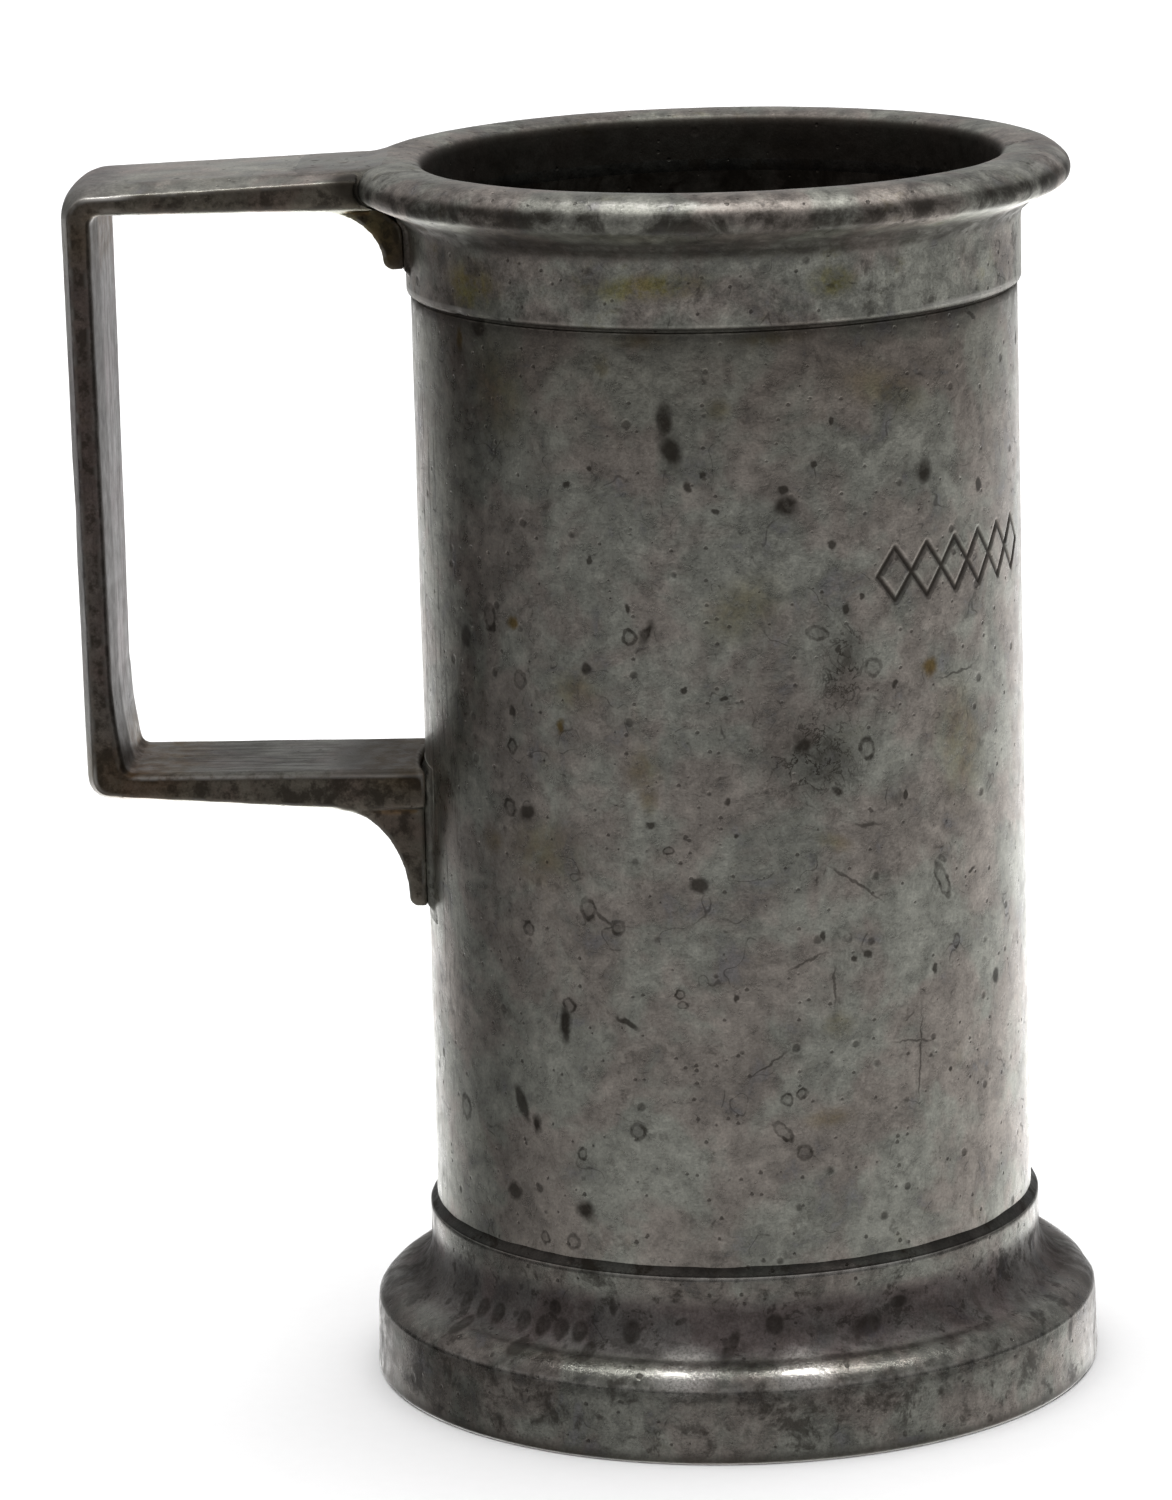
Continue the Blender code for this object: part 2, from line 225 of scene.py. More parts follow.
# A band of plain ornament cut into the barrel: a chain of lozenges, which starts at an angle.
BAND_LOW = mm(73.5)
BAND_HIGH = mm(78.1)
CHAIN_START = 32.5
LOZENGE_TURN = 7.6
LOZENGES = 6
CUT_DEPTH = mm(0.14)
CUT_HALF_WIDTH = mm(0.26)


def stroke_distance(point, start, end):
    """Distance from a point to a straight stroke, all in one plane."""
    along, up = end[0] - start[0], end[1] - start[1]
    x, z = point[0] - start[0], point[1] - start[1]
    share = min(1.0, max(0.0, (x * along + z * up) / (along**2 + up**2)))
    return hypot(x - share * along, z - share * up)


def ornament_strokes():
    """The lozenges' sides, each as (start, end), with both ends as (distance round the barrel, height)."""
    strokes = []
    middle = (BAND_LOW + BAND_HIGH) / 2
    width = radians(LOZENGE_TURN) * BARREL_TOP
    for i in range(LOZENGES):
        left = radians(CHAIN_START) * BARREL_TOP + width * i
        centre = left + width / 2
        corners = [(left, middle), (centre, BAND_HIGH), (left + width, middle), (centre, BAND_LOW)]
        strokes += list(zip(corners, corners[1:] + corners[:1]))
    return strokes


STROKES = ornament_strokes()


def cut_share(angle, height):
    """1 in the middle of a cut stroke, 0 outside it."""
    if not (BAND_LOW - mm(1) < height < BAND_HIGH + mm(1) and 25 < angle < 90):
        return 0.0
    place = (radians(angle) * BARREL_TOP, height)
    nearest = min(stroke_distance(place, *stroke) for stroke in STROKES)
    return 1 - smooth(CUT_HALF_WIDTH * 0.35, CUT_HALF_WIDTH * 1.3, nearest)


def build_barrel():
    fine_low, fine_high = BAND_LOW - mm(0.6), BAND_HIGH + mm(0.6)
    shoulder = BAND_BOTTOM - mm(0.25)
    spigot = COLLAR_HIGH.z - mm(5.4)

    def wall(height):
        share = (shoulder - height) / (shoulder - FOOT_TOP)
        return BARREL_TOP + (BARREL_FOOT - BARREL_TOP) * share

    def stretch(high, low, step):
        return divided([(wall(high), high), (wall(low), low)], step)

    profile = divided([(BARREL_TOP - mm(0.65), spigot), (BARREL_TOP - mm(0.65), shoulder)], mm(3))
    profile += [(BARREL_TOP - mm(0.2), shoulder), (BARREL_TOP - mm(0.05), shoulder - mm(0.06))]
    profile += stretch(shoulder - mm(0.2), fine_high, mm(0.62))
    profile += stretch(fine_high, fine_low, mm(0.13))
    profile += stretch(fine_low, FOOT_TOP, mm(0.62))
    seat = BARREL_FOOT - mm(0.55)
    profile += [(BARREL_FOOT, FOOT_TOP), (seat, FOOT_TOP), (seat, PLATE_BOTTOM)]
    profile += divided([(BORE, PLATE_BOTTOM), (BORE, spigot)], mm(3.2)) + [(BORE, spigot)]

    # Closer together at the ornament.
    angles = [-180 + 1.3 * i for i in range(162)]
    angles += [30.6 + 0.27 * i for i in range(184)]
    angles += [80.3 + 1.3 * i for i in range(77)]
    bulges = [
        (around(-78, BARREL_FOOT, mm(38)), 5, 0.1),
        (around(-83, BARREL_FOOT, mm(28)), 4, 0.08),
        (around(-74, BARREL_FOOT, mm(60)), 7, 0.07),
        (around(160, BARREL_FOOT, mm(70)), 6, 0.12),
        (around(120, BARREL_FOOT, mm(35)), 5, 0.1),
    ]

    def relief(point, angle, radius, height):
        if radius < BARREL_TOP - mm(0.1):
            return mm(0.02) * waves(point, 4) if radius < BORE + mm(0.1) else 0.0
        fade = smooth(FOOT_TOP, FOOT_TOP + mm(2), height) * smooth(shoulder, shoulder - mm(2), height)
        move = mm(0.045) * waves(point, 13) + mm(0.014) * waves(point, 4.2, 3.0) - dents(point, bulges)
        left = smooth(-58, -72, angle) * smooth(-110, -95, angle) * smooth(mm(62), mm(40), height)
        move += left * mm(0.05) * waves(point, 3.6, 11.0)
        return fade * move - CUT_DEPTH * cut_share(angle, height)

    def cut(point, angle, radius, height):
        return cut_share(angle, height) if radius > BARREL_TOP - mm(0.1) else 0.0

    # 1 on the bore wall, which the material darkens as painted shade.
    def inside(point, angle, radius, height):
        return 1.0 if radius < BORE + mm(0.2) else 0.0

    measures = {"cut": cut, "inside": inside}
    return turned("barrel_wall", profile, angles, relief, ["barrel"], measures)


# --- Collar and lip ---


def lip_outside():
    """The outside of the collar, from the crown of the lip down to the band's lower edge."""
    nose = mm(1.4)
    crown = [(BORE + mm(1.3), RIM - mm(0.12)), (BORE + mm(2.2), RIM), (BORE + mm(3.4), RIM)]
    crown += [(LIP - mm(1.9), RIM - mm(0.12)), (LIP - mm(1.05), RIM - mm(0.42))]
    edge = arc((LIP - nose, mm(107.6)), nose, 50, -60, 6)
    underside = [(LIP - mm(2.1), mm(105.75)), (LIP - mm(3.2), mm(105.25))]
    band = BORE + mm(1.8)
    cove = arc((band + mm(1.5), mm(103.4)), mm(1.5), 115, 180, 4)
    rounded = arc((band - mm(0.3), BAND_BOTTOM + mm(0.3)), mm(0.3), 0, -90, 3)
    return softened(crown + edge + underside + cove + [(band, mm(102))], 3) + [(band, mm(98.6))] + rounded


LIP_OUTSIDE = lip_outside()


def collar_radius(height):
    """Radius of the collar's outside, below the lip's widest point."""
    under = [(z, r) for r, z in LIP_OUTSIDE if z < mm(107.2)]
    under.sort()
    return float(np.interp(height, [z for z, _ in under], [r for _, r in under]))


def build_collar():
    rabbet = BORE + mm(1.05)
    ledge = COLLAR_HIGH.z - mm(4.8)
    mouth = arc((BORE + mm(1.0), RIM - mm(1.25)), mm(1.0), 180, 112, 5)
    inside = [(rabbet, BAND_BOTTOM), (rabbet, ledge), (BORE, ledge)]
    profile = divided(LIP_OUTSIDE, mm(0.34)) + divided([LIP_OUTSIDE[-1]] + inside, mm(2))
    profile += divided([(BORE, ledge), mouth[0]], mm(1)) + mouth
    nicks = [
        (around(66, LIP - mm(0.6), RIM - mm(0.6)), 1.0, 0.22),
        (around(74, LIP - mm(0.4), RIM - mm(0.9)), 0.9, 0.2),
        (around(-8, LIP - mm(0.9), RIM - mm(0.4)), 1.3, 0.1),
        (around(21, LIP - mm(0.8), RIM - mm(0.4)), 1.1, 0.12),
        (around(30, LIP - mm(0.8), RIM - mm(0.5)), 0.9, 0.1),
        (around(150, LIP - mm(0.6), RIM - mm(0.6)), 1.2, 0.2),
        (around(-52.5, BORE + mm(1.8), BAND_BOTTOM + mm(0.1)), 0.5, 0.15),
    ]

    def relief(point, angle, radius, height):
        if radius < BORE + mm(0.9) and height < RIM - mm(1.5):
            return 0.0
        if radius < rabbet + mm(0.1) and height < ledge + mm(0.1):
            return 0.0
        edge = smooth(LIP - mm(2.6), LIP - mm(0.6), radius) * smooth(mm(106.5), mm(108.6), height)
        wobble = mm(0.1) * (waves(point, 7, 5.0) - 0.6) + mm(0.05) * waves(point, 2.2, 9.0)
        move = mm(0.02) * (waves(point, 9) - 1) + mm(0.012) * (waves(point, 2.6, 2.0) - 1)
        return move + edge * wobble - dents(point, nicks)

    return turned("collar_and_lip", profile, even_angles(0.9), relief, ["rim_collar"])


# --- Foot ---


def build_foot():
    neck = BORE + mm(2.3)
    cove = arc((neck + mm(3.6), mm(11.8)), mm(3.6), 180, 248, 14)
    ovolo = arc((mm(28.9), mm(4.5)), mm(4.05), 74, 31, 12)
    outside = [(neck - mm(0.12), FOOT_TOP - mm(0.02)), (neck, FOOT_TOP - mm(0.14))] + cove + ovolo
    outside += [(FOOT - mm(0.2), mm(6.35)), (FOOT - mm(0.12), mm(5.6)), (FOOT, mm(0.7))]
    outside += [(FOOT - mm(0.04), mm(0.3)), (FOOT - mm(0.3), 0.0)]
    inner = FOOT - mm(2.0)
    lap = BARREL_FOOT - mm(0.25)
    inside = [
        (inner + mm(0.5), 0.0),
        (inner + mm(0.1), mm(0.35)),
        (inner - mm(0.3), mm(4.5)),
        (inner - mm(1.6), mm(6.6)),
        (lap, mm(9.6)),
        (lap, FOOT_TOP - mm(0.3)),
    ]
    profile = divided(outside, mm(0.36)) + [outside[-1]] + divided(inside, mm(0.9)) + [inside[-1]]
    hits = [
        (around(-2, FOOT - mm(1.0), mm(8.0)), 1.6, 0.1),
        (around(35, FOOT - mm(0.3), mm(6.5)), 0.9, 0.12),
        (around(17, FOOT - mm(1.2), mm(7.9)), 0.9, 0.07),
        (around(-48, FOOT, mm(5.2)), 2.4, 0.1),
        (around(100, FOOT, mm(5.8)), 2.0, 0.18),
        (around(170, FOOT, mm(3.0)), 2.6, 0.15),
        (around(-130, FOOT, mm(6.0)), 1.8, 0.16),
    ]

    def relief(point, angle, radius, height):
        if height < mm(0.2) or radius < lap + mm(0.1):
            return 0.0
        fade = smooth(0.0, mm(1.2), height)
        move = mm(0.025) * (waves(point, 8) - 1) + mm(0.012) * (waves(point, 2.4, 4.0) - 1)
        return fade * move - dents(point, hits)

    return turned("foot_moulding", profile, even_angles(0.9), relief, ["foot_ring"])


# --- Base plate and the seams of the body ---


def build_base():
    step = mm(1.1)
    count = ceil(BORE / step)
    rings = [BORE * i / count for i in range(count, 0, -1)]
    profile = [(radius, FLOOR) for radius in reversed(rings)]
    profile = [(mm(0.05), FLOOR)] + profile + [(BORE, PLATE_BOTTOM)]
    profile += [(radius, PLATE_BOTTOM) for radius in rings[1:]] + [(mm(0.05), PLATE_BOTTOM)]

    def relief(point, angle, radius, height):
        if radius > BORE - mm(0.5):
            return 0.0
        ridge = mm(0.03) * sin(radius / mm(0.5))
        return ridge + mm(0.06) * waves(point, 11) + mm(0.02) * waves(point, 3, 2.0) - mm(0.07)

    return turned("base_disc", profile, even_angles(2.5), relief, ["base_plate"])


def build_foot_fillet():
    """Solder in the corner between the barrel and the foot, drawn down and uneven."""
    inner = BARREL_FOOT - mm(0.1)
    lip = BORE + mm(2.2)
    bottom = FOOT_TOP - mm(0.15)
    slope = [(inner, FOOT_TOP + mm(0.95)), (inner + mm(0.22), FOOT_TOP + mm(0.5)), (lip, FOOT_TOP + mm(0.02))]
    profile = divided(softened(slope, 2), mm(0.18))
    profile += divided([(lip, bottom), (inner, bottom), slope[0]], mm(0.5))

    def relief(point, angle, radius, height):
        return mm(0.06) * waves(point, 3.2, 7.0) * smooth(FOOT_TOP, FOOT_TOP + mm(0.4), height)

    return turned("foot_fillet", profile, even_angles(1.0), relief, ["foot_solder"])


def build_bore_seam():
    """A thin, nearly level seam in the bore where the collar meets the barrel."""
    low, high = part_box("collar_solder")
    bottom, top = low.z - mm(0.35), high.z + mm(0.35)
    outer = BARREL_TOP - mm(0.7)
    inner = BORE - mm(0.01)
    profile = [(outer, top), (outer, bottom), (inner + mm(0.03), bottom), (inner, bottom + mm(0.3))]
    profile += [(inner, top - mm(0.3)), (inner + mm(0.03), top)]

    def relief(point, angle, radius, height):
        return mm(0.02) * waves(point, 2.5, 1.0) if radius < BORE + mm(0.01) else 0.0

    return turned("bore_seam", profile, even_angles(2.0), relief, ["collar_solder"])


def build_base_bead():
    """A lumpy bead of solder under the base plate's edge."""
    half = mm(1.0)
    bead = arc((BORE, PLATE_BOTTOM + mm(0.05)), half, 10, -190, 13)
    profile = [(radius, PLATE_BOTTOM + (height - PLATE_BOTTOM) * 0.8) for radius, height in bead]

    def relief(point, angle, radius, height):
        return mm(0.16) * waves(point, 3.0, 6.0) + mm(0.06) * waves(point, 1.1, 8.0) - mm(0.1)

    return turned("base_bead", profile, even_angles(1.5), relief, ["base_solder"])


# --- Handle ---

VOXEL = mm(0.24)


def remeshed(source, voxel):
    """Points and faces of a CAD node's solid, remeshed evenly."""
    mesh = source.data.copy()
    shape = bmesh.new()
    shape.from_mesh(mesh)
    bmesh.ops.remove_doubles(shape, verts=shape.verts, dist=mm(0.001))
    shape.to_mesh(mesh)
    shape.free()
    copy = add_object("remesh_source", mesh)
    modifier = copy.modifiers.new("even", "REMESH")
    modifier.mode = "VOXEL"
    modifier.voxel_size = voxel
    graph = bpy.context.evaluated_depsgraph_get()
    made = bpy.data.meshes.new_from_object(copy.evaluated_get(graph))
    points = np.array([v.co[:] for v in made.vertices])
    faces = [tuple(p.vertices) for p in made.polygons]
    edges = np.array([e.vertices[:] for e in made.edges])
    bpy.data.objects.remove(copy)
    bpy.data.meshes.remove(made)
    return points, faces, edges


def spread(values, edges, rounds, factor=0.5):
    """Each value drawn towards the mean of its neighbours, several times."""
    values = np.array(values, float)
    degree = np.bincount(edges.ravel(), minlength=len(values)).astype(float)
    degree = degree.reshape((-1,) + (1,) * (values.ndim - 1))
    for _ in range(rounds):
        total = np.zeros_like(values)
        np.add.at(total, edges[:, 0], values[edges[:, 1]])
        np.add.at(total, edges[:, 1], values[edges[:, 0]])
        values = values + factor * (total / degree - values)
    return values


def normals_of(points, faces):
    corners = np.array(faces)
    across = points[corners[:, 2]] - points[corners[:, 0]]
    other = points[corners[:, 3]] - points[corners[:, 1]]
    flat = np.cross(across, other)
    total = np.zeros_like(points)
    for k in range(4):
        np.add.at(total, corners[:, k], flat)
    return total / np.maximum(np.linalg.norm(total, axis=1, keepdims=True), 1e-12)


def bending(points, normals, edges, rounds):
    """Positive on outward edges and negative in hollows, about 1 on a worn corner of the strap."""
    step = points[edges[:, 1]] - points[edges[:, 0]]
    length = np.linalg.norm(step, axis=1)
    total = np.zeros(len(points))
    np.add.at(total, edges[:, 0], -np.einsum("ij,ij->i", step, normals[edges[:, 0]]) / length)
    np.add.at(total, edges[:, 1], np.einsum("ij,ij->i", step, normals[edges[:, 1]]) / length)
    return spread(total, edges, rounds)


def build_handle():
    points, faces, edges = remeshed(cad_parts["handle"], VOXEL)
    points = spread(points, edges, 4)
    low, high = HANDLE_LOW, HANDLE_HIGH
    reach = AXIS_X - points[:, 0]
    kink = np.exp(-(((reach - mm(33.8)) / mm(2)) ** 2) - ((points[:, 2] - mm(51.5)) / mm(1.6)) ** 2)
    points += kink[:, None] * (spread(points, edges, 40) - points)
    normals = normals_of(points, faces)
    bend = bending(points, normals, edges, 4)
    # The front and back faces; the material darkens them as painted shade.
    side = np.clip((np.abs(normals[:, 1]) - 0.6) / 0.3, 0, 1)
    # A strip of the grip's inner face just behind its front edge, where the material paints a dark
    # reflection.
    narrowing = np.clip((points[:, 2] - mm(55.9)) / mm(49.9), 0, 1)
    behind_edge = points[:, 1] + mm(7) + mm(1.8) * narrowing
    band = (normals[:, 0] > 0.5) * (reach > mm(50)) * np.clip((mm(7.4) - behind_edge) / mm(1.6), 0, 1)
    nicks = [
        (Vector((low.x + mm(3.4), low.y + mm(0.1), high.z - mm(1.2))), 0.7, 0.1),
        (Vector((low.x + mm(4.6), low.y + mm(0.1), high.z - mm(1.1))), 0.6, 0.12),
        (Vector((low.x + mm(5.6), low.y + mm(0.1), high.z - mm(1.1))), 0.5, 0.08),
        (Vector((low.x + mm(13), low.y, high.z - mm(1.0))), 0.8, 0.1),
        (Vector((low.x, low.y + mm(5), mm(80))), 2.5, 0.1),
        (Vector((low.x, low.y + mm(11), mm(66))), 2.0, 0.12),
    ]
    moved = []
    for place, normal in zip(points, normals):
        point = Vector(place)
        move = mm(0.03) * (waves(point, 6) - 1) + mm(0.014) * waves(point, 1.6, 3.0)
        moved.append(point + Vector(normal) * (move - dents(point, nicks)))
    # The top arm's up-facing faces, which the material lightens as a painted highlight.
    top = np.clip((normals[:, 2] - 0.7) / 0.25, 0, 1) * (points[:, 2] > mm(104))
    values = {
        "edge": np.clip(bend, 0, 2),
        "hollow": np.clip(-bend, 0, 2),
        "side": side,
        "top": top,
        "band": spread(band, edges, 2),
    }
    return piece("strap_handle", moved, faces, ["handle"], values)


# --- Solder at the handle's ends ---


def box_distance(across, half_width, height, bottom, top):
    """Distance to an upright rectangle, negative inside it."""
    beside = abs(across) - half_width
    above = max(bottom - height, height - top)
    outside = hypot(max(beside, 0.0), max(above, 0.0))
    return outside + min(max(beside, above), 0.0)


def build_root_pad(name, radius_at, half_width, bottom, top, node):
    """Solder under and round a bracket's end: it fills the joint and runs out in a fillet."""
    reach = mm(0.8)
    margin = mm(1.3)
    wide = half_width + margin
    low, high = bottom - margin, top + margin

    def place(u, v, rise=True):
        across = wide * (2 * u - 1)
        height = low + (high - low) * v
        radius = radius_at(height)
        gap = box_distance(across, half_width, height, bottom, top)
        uneven = mm(0.1) * waves(Vector((across, 0.0, height)), 2.2, 5.0)
        thick = mm(0.42) * max(0.0, 1 - max(0.0, gap + uneven) / reach) ** 2 - mm(0.08)
        turn = across / radius
        out = radius + (thick if rise else -mm(0.5))
        return Vector((AXIS_X - out * cos(turn), -out * sin(turn), height))

    return slab(name, 48, 60, place, lambda u, v: place(u, v, False), [node])


BRIDGE_STEP = mm(0.3)
WEB_ROUND = mm(4.0)


def far_edge(reach):
    """How far across the solder runs: just inside the lip and the arm, and past both in their corner."""
    across = ARM_HALF_WIDTH - mm(1)
    while across < mm(16):
        beyond_arm = across - ARM_HALF_WIDTH
        beyond_lip = hypot(reach, across) - LIP
        share = max(WEB_ROUND - abs(beyond_arm - beyond_lip), 0.0) / WEB_ROUND
        if min(beyond_arm, beyond_lip) - share * share * WEB_ROUND / 4 > -mm(0.7) * (1 - share):
            break
        across += mm(0.05)
    return across


def lip_top(radius):
    outline = [(r, z) for r, z in LIP_OUTSIDE if z > mm(108.0)]
    return float(np.interp(radius, [r for r, _ in outline], [z for _, z in outline]))


def build_lip_bridge():
    """Solder smoothed over the lip and the arm's end, with a web in their far corner."""
    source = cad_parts["handle"].data
    faces = [tuple(p.vertices) for p in source.polygons]
    arm = BVHTree.FromPolygons([v.co[:] for v in source.vertices], faces)
    start, end = mm(27.4), mm(38.0)
    near, far = -ARM_HALF_WIDTH + mm(0.7), ARM_HALF_WIDTH + mm(5.5)
    rows, columns = round((end - start) / BRIDGE_STEP) + 1, round((far - near) / BRIDGE_STEP) + 1
    heights = np.full((rows, columns), np.nan)
    for i in range(rows):
        for j in range(columns):
            reach = start + (end - start) * i / (rows - 1)
            across = near + (far - near) * j / (columns - 1)
            found = []
            if hypot(reach, across) < LIP - mm(0.5):
                found.append(lip_top(hypot(reach, across)))
            hit = arm.ray_cast(Vector((AXIS_X - reach, across, mm(120))), Vector((0, 0, -1)))[0]
            if hit is not None and hit.z > mm(107.5):
                found.append(hit.z)
            if found:
                heights[i, j] = max(found)
    filled = np.where(np.isnan(heights), mm(108.6), heights)
    for _ in range(14):
        padded = np.pad(filled, 1, mode="edge")
        mean = (padded[:-2, 1:-1] + padded[2:, 1:-1] + padded[1:-1, :-2] + padded[1:-1, 2:]) / 4
        filled = filled + 0.7 * (mean - filled)
    edges = [far_edge(start + (end - start) * i / (rows - 1)) for i in range(rows)]
    stations = [near + (far - near) * j / (columns - 1) for j in range(columns)]

    def top(u, v):
        i = round(u * (rows - 1))
        reach, across = start + (end - start) * u, near + (edges[i] - near) * v
        height = float(np.interp(across, stations, filled[i]))
        height += mm(0.03) * waves(Vector((reach, across, 0.0)), 2.5, 4.0)
        height += mm(0.03) - mm(0.6) * (1 - smooth(0, 0.1, u)) - mm(0.35) * (1 - smooth(0, 0.25, 1 - u))
        height -= mm(0.8) * (1 - smooth(0, 0.08, v))
        past = 1 - min(1.0, max(0.0, (edges[i] - across) / mm(1.2)))
        height -= mm(1.2) * (1 - sqrt(1 - past * past))
        return Vector((AXIS_X - reach, across, min(height, RIM - mm(0.01))))

    def bottom(u, v):
        point = top(u, v)
        return Vector((point.x, point.y, mm(106.2)))

    return slab("upper_solder_bridge", rows, columns, top, bottom, ["handle_upper_solder"])


# --- Materials ---


class Nodes:
    """A node tree, with short calls that add to it and return output sockets."""

    def __init__(self, owner):
        owner.use_nodes = True
        self.tree = owner.node_tree

    def add(self, kind, inputs, output=0, **settings):
        node = self.tree.nodes.new("ShaderNode" + kind)
        for key, value in settings.items():
            setattr(node, key, value)
        for key, value in inputs.items():
            self.feed(node.inputs[key], value)
        return node.outputs[output]

    def feed(self, socket, value):
        if isinstance(value, bpy.types.NodeSocket):
            self.tree.links.new(value, socket)
        else:
            socket.default_value = value

    def parts(self, vector):
        node = self.tree.nodes.new("ShaderNodeSeparateXYZ")
        self.tree.links.new(vector, node.inputs[0])
        return node.outputs

    def math(self, operation, *values):
        return self.add("Math", dict(enumerate(values)), operation=operation)

    def times(self, *values):
        """The product of all the values."""
        product = values[0]
        for value in values[1:]:
            product = self.math("MULTIPLY", product, value)
        return product

    def remap(self, value, low, high, to_low=0.0, to_high=1.0):
        inputs = {"Value": value, "From Min": low, "From Max": high, "To Min": to_low, "To Max": to_high}
        return self.add("MapRange", inputs, interpolation_type="SMOOTHSTEP")

    def mix(self, share, first, second, blend="MIX"):
        inputs = {0: share, 6: first, 7: second}
        return self.add("Mix", inputs, output=2, data_type="RGBA", blend_type=blend)


class Shader(Nodes):
    """A material. Its place is the point's place on the object, in millimetres."""

    def __init__(self, name):
        self.material = bpy.data.materials.new(name)
        super().__init__(self.material)
        self.surface = self.tree.nodes["Principled BSDF"]
        place = self.add("TexCoord", {}, output=3)
        self.place = self.add("VectorMath", {0: place, "Scale": 1000.0}, operation="SCALE")

    def noise(self, vector, size, detail=3.0, roughness=0.55, distortion=0.0):
        """Noise from 0 to 1 with features of a size in millimetres, for a vector in millimetres."""
        inputs = {"Vector": vector, "Scale": 1 / size, "Detail": detail, "Roughness": roughness}
        return self.add("TexNoise", inputs | {"Distortion": distortion})

    def shifted(self, *shift):
        return self.add("Mapping", {"Vector": self.place, "Location": shift})

    def stretched(self, *factors):
        return self.add("Mapping", {"Vector": self.place, "Scale": factors})

    def blob(self, centre, radii):
        """1 in the middle of a soft round patch, 0 outside it. Both sizes are in millimetres."""
        local = self.add("Mapping", {0: self.place, 1: centre, 3: radii}, vector_type="TEXTURE")
        near = self.add("TexGradient", {0: local}, output=1, gradient_type="SPHERICAL")
        return self.remap(near, 0.0, 0.7)

    def attribute(self, name):
        return self.add("Attribute", {}, output=2, attribute_name=name)

    def distance_out(self):
        """Distance from the barrel's axis, in millimetres."""
        moved = self.add("VectorMath", {0: self.place, 1: (AXIS, 0.0, 0.0)}, operation="SUBTRACT")
        flat = self.add("VectorMath", {0: moved, 1: (1.0, 1.0, 0.0)}, operation="MULTIPLY")
        return self.add("VectorMath", {0: flat}, output=1, operation="LENGTH")

    def unrolled(self):
        """(distance round the barrel from the front, height), in millimetres."""
        x, y, height = self.parts(self.place)
        turn = self.math("ARCTAN2", self.math("SUBTRACT", x, AXIS), self.math("MULTIPLY", y, -1.0))
        across = self.math("MULTIPLY", turn, BARREL_FOOT * 1000)
        return self.add("CombineXYZ", {0: across, 1: height, 2: 0.0}), height


# Marks on the barrel: (angle from the front, height, width, length) in degrees and millimetres, and the lean
# to the left at the top in degrees. Rings are dried drops with a dark outline.
RINGS = [
    (-46, 72, 1.5, 2.3), (-38.5, 67, 1.4, 1.5), (-41, 61, 1.1, 1.3), (-42, 55.5, 1.3, 1.5),
    (-24.5, 47.5, 1.4, 1.8, 10), (-18.5, 46, 1.2, 1.3), (-8.5, 53, 0.9, 0.7), (20, 71.5, 1.9, 1.2, -15),
    (31, 68, 1.6, 1.6), (29.5, 61, 1.4, 2.1, 10), (46.5, 48.2, 1.2, 3.4, 26), (-38, 45, 1.1, 1.3),
    (-7, 40.4, 0.8, 0.8), (-6.3, 39.5, 0.8, 0.7), (-59, 27, 1.6, 2.1), (-15.5, 28, 1.5, 1.3, -20),
    (-27, 25.5, 0.8, 1.1), (50, 42.5, 0.9, 1.2), (11.5, 28, 1.0, 2.2, 48), (-36, 17.3, 0.9, 1.1),
    (-29.5, 17.4, 1.2, 1.3), (-29, 38.7, 1.2, 1.2), (15.5, 26, 1.3, 1.3), (15.3, 31.3, 0.9, 0.9),
    (12.5, 30.8, 1.0, 1.1), (-14.8, 71.6, 1.3, 1.2),
]
SPOTS = [
    (-3.5, 84.5, 0.8, 0.8), (-0.5, 85.6, 0.6, 0.6), (1.7, 82.4, 0.7, 0.5), (-22.4, 78, 0.5, 0.8),
    (-22, 86, 0.5, 0.5), (-26.7, 84.4, 0.7, 0.6), (-15.2, 74, 0.5, 0.9), (20, 86, 0.5, 0.7),
    (23.4, 89.6, 0.5, 0.5), (23, 79, 0.8, 0.8), (29, 74.2, 0.5, 0.5), (25.6, 73.4, 0.7, 0.9),
    (59.4, 82, 0.9, 1.2), (-40.7, 64, 0.8, 1.1), (-23.6, 68.6, 1.0, 1.1), (2.5, 57.3, 0.6, 0.6),
    (-11.8, 55.2, 0.9, 0.7), (-4.8, 67, 0.5, 0.6), (2.5, 66.3, 0.8, 0.4), (35.7, 66.3, 0.7, 0.6),
    (37.6, 56.4, 0.5, 0.9), (4, 54.3, 0.4, 0.4), (3.4, 40, 0.5, 0.7), (19.8, 45, 0.5, 1.0),
    (28.8, 43, 0.7, 0.9), (26, 42.8, 0.7, 0.5), (63, 38, 1.0, 1.5), (44, 40.5, 0.5, 1.1),
    (47.7, 31.2, 0.5, 0.5), (-2.9, 50, 1.5, 1.5), (14, 84, 1.0, 1.0), (82, 93, 0.9, 1.1),
    (57.8, 96.8, 1.9, 0.5, -30), (-53.7, 69.8, 1.6, 2.3), (-37.6, 55.3, 1.9, 1.3, 30),
    (-43.5, 20.9, 1.7, 1.6), (-41, 29.1, 1.2, 3.4, 24), (-17, 37.6, 2.2, 0.5, -25), (24, 70, 1.0, 0.4, 40),
    (55, 48.3, 1.0, 0.4, 30),
]
BLOTS = [
    (-7.4, 90.2, 1.3, 2.8), (-6.3, 87.6, 1.7, 2.6, 10), (43.3, 84.2, 1.5, 1.9), (14.5, 82.6, 1.8, 1.6),
    (-47, 97, 2.4, 1.6), (-11.5, 72, 0.8, 2.0, -30), (-30, 37, 1.0, 3.0), (-37.3, 27.5, 0.8, 1.6),
    (-26.7, 20.4, 1.6, 1.6), (16.8, 61.7, 1.9, 1.5, 40), (23.2, 57.6, 1.0, 0.7, -50),
]
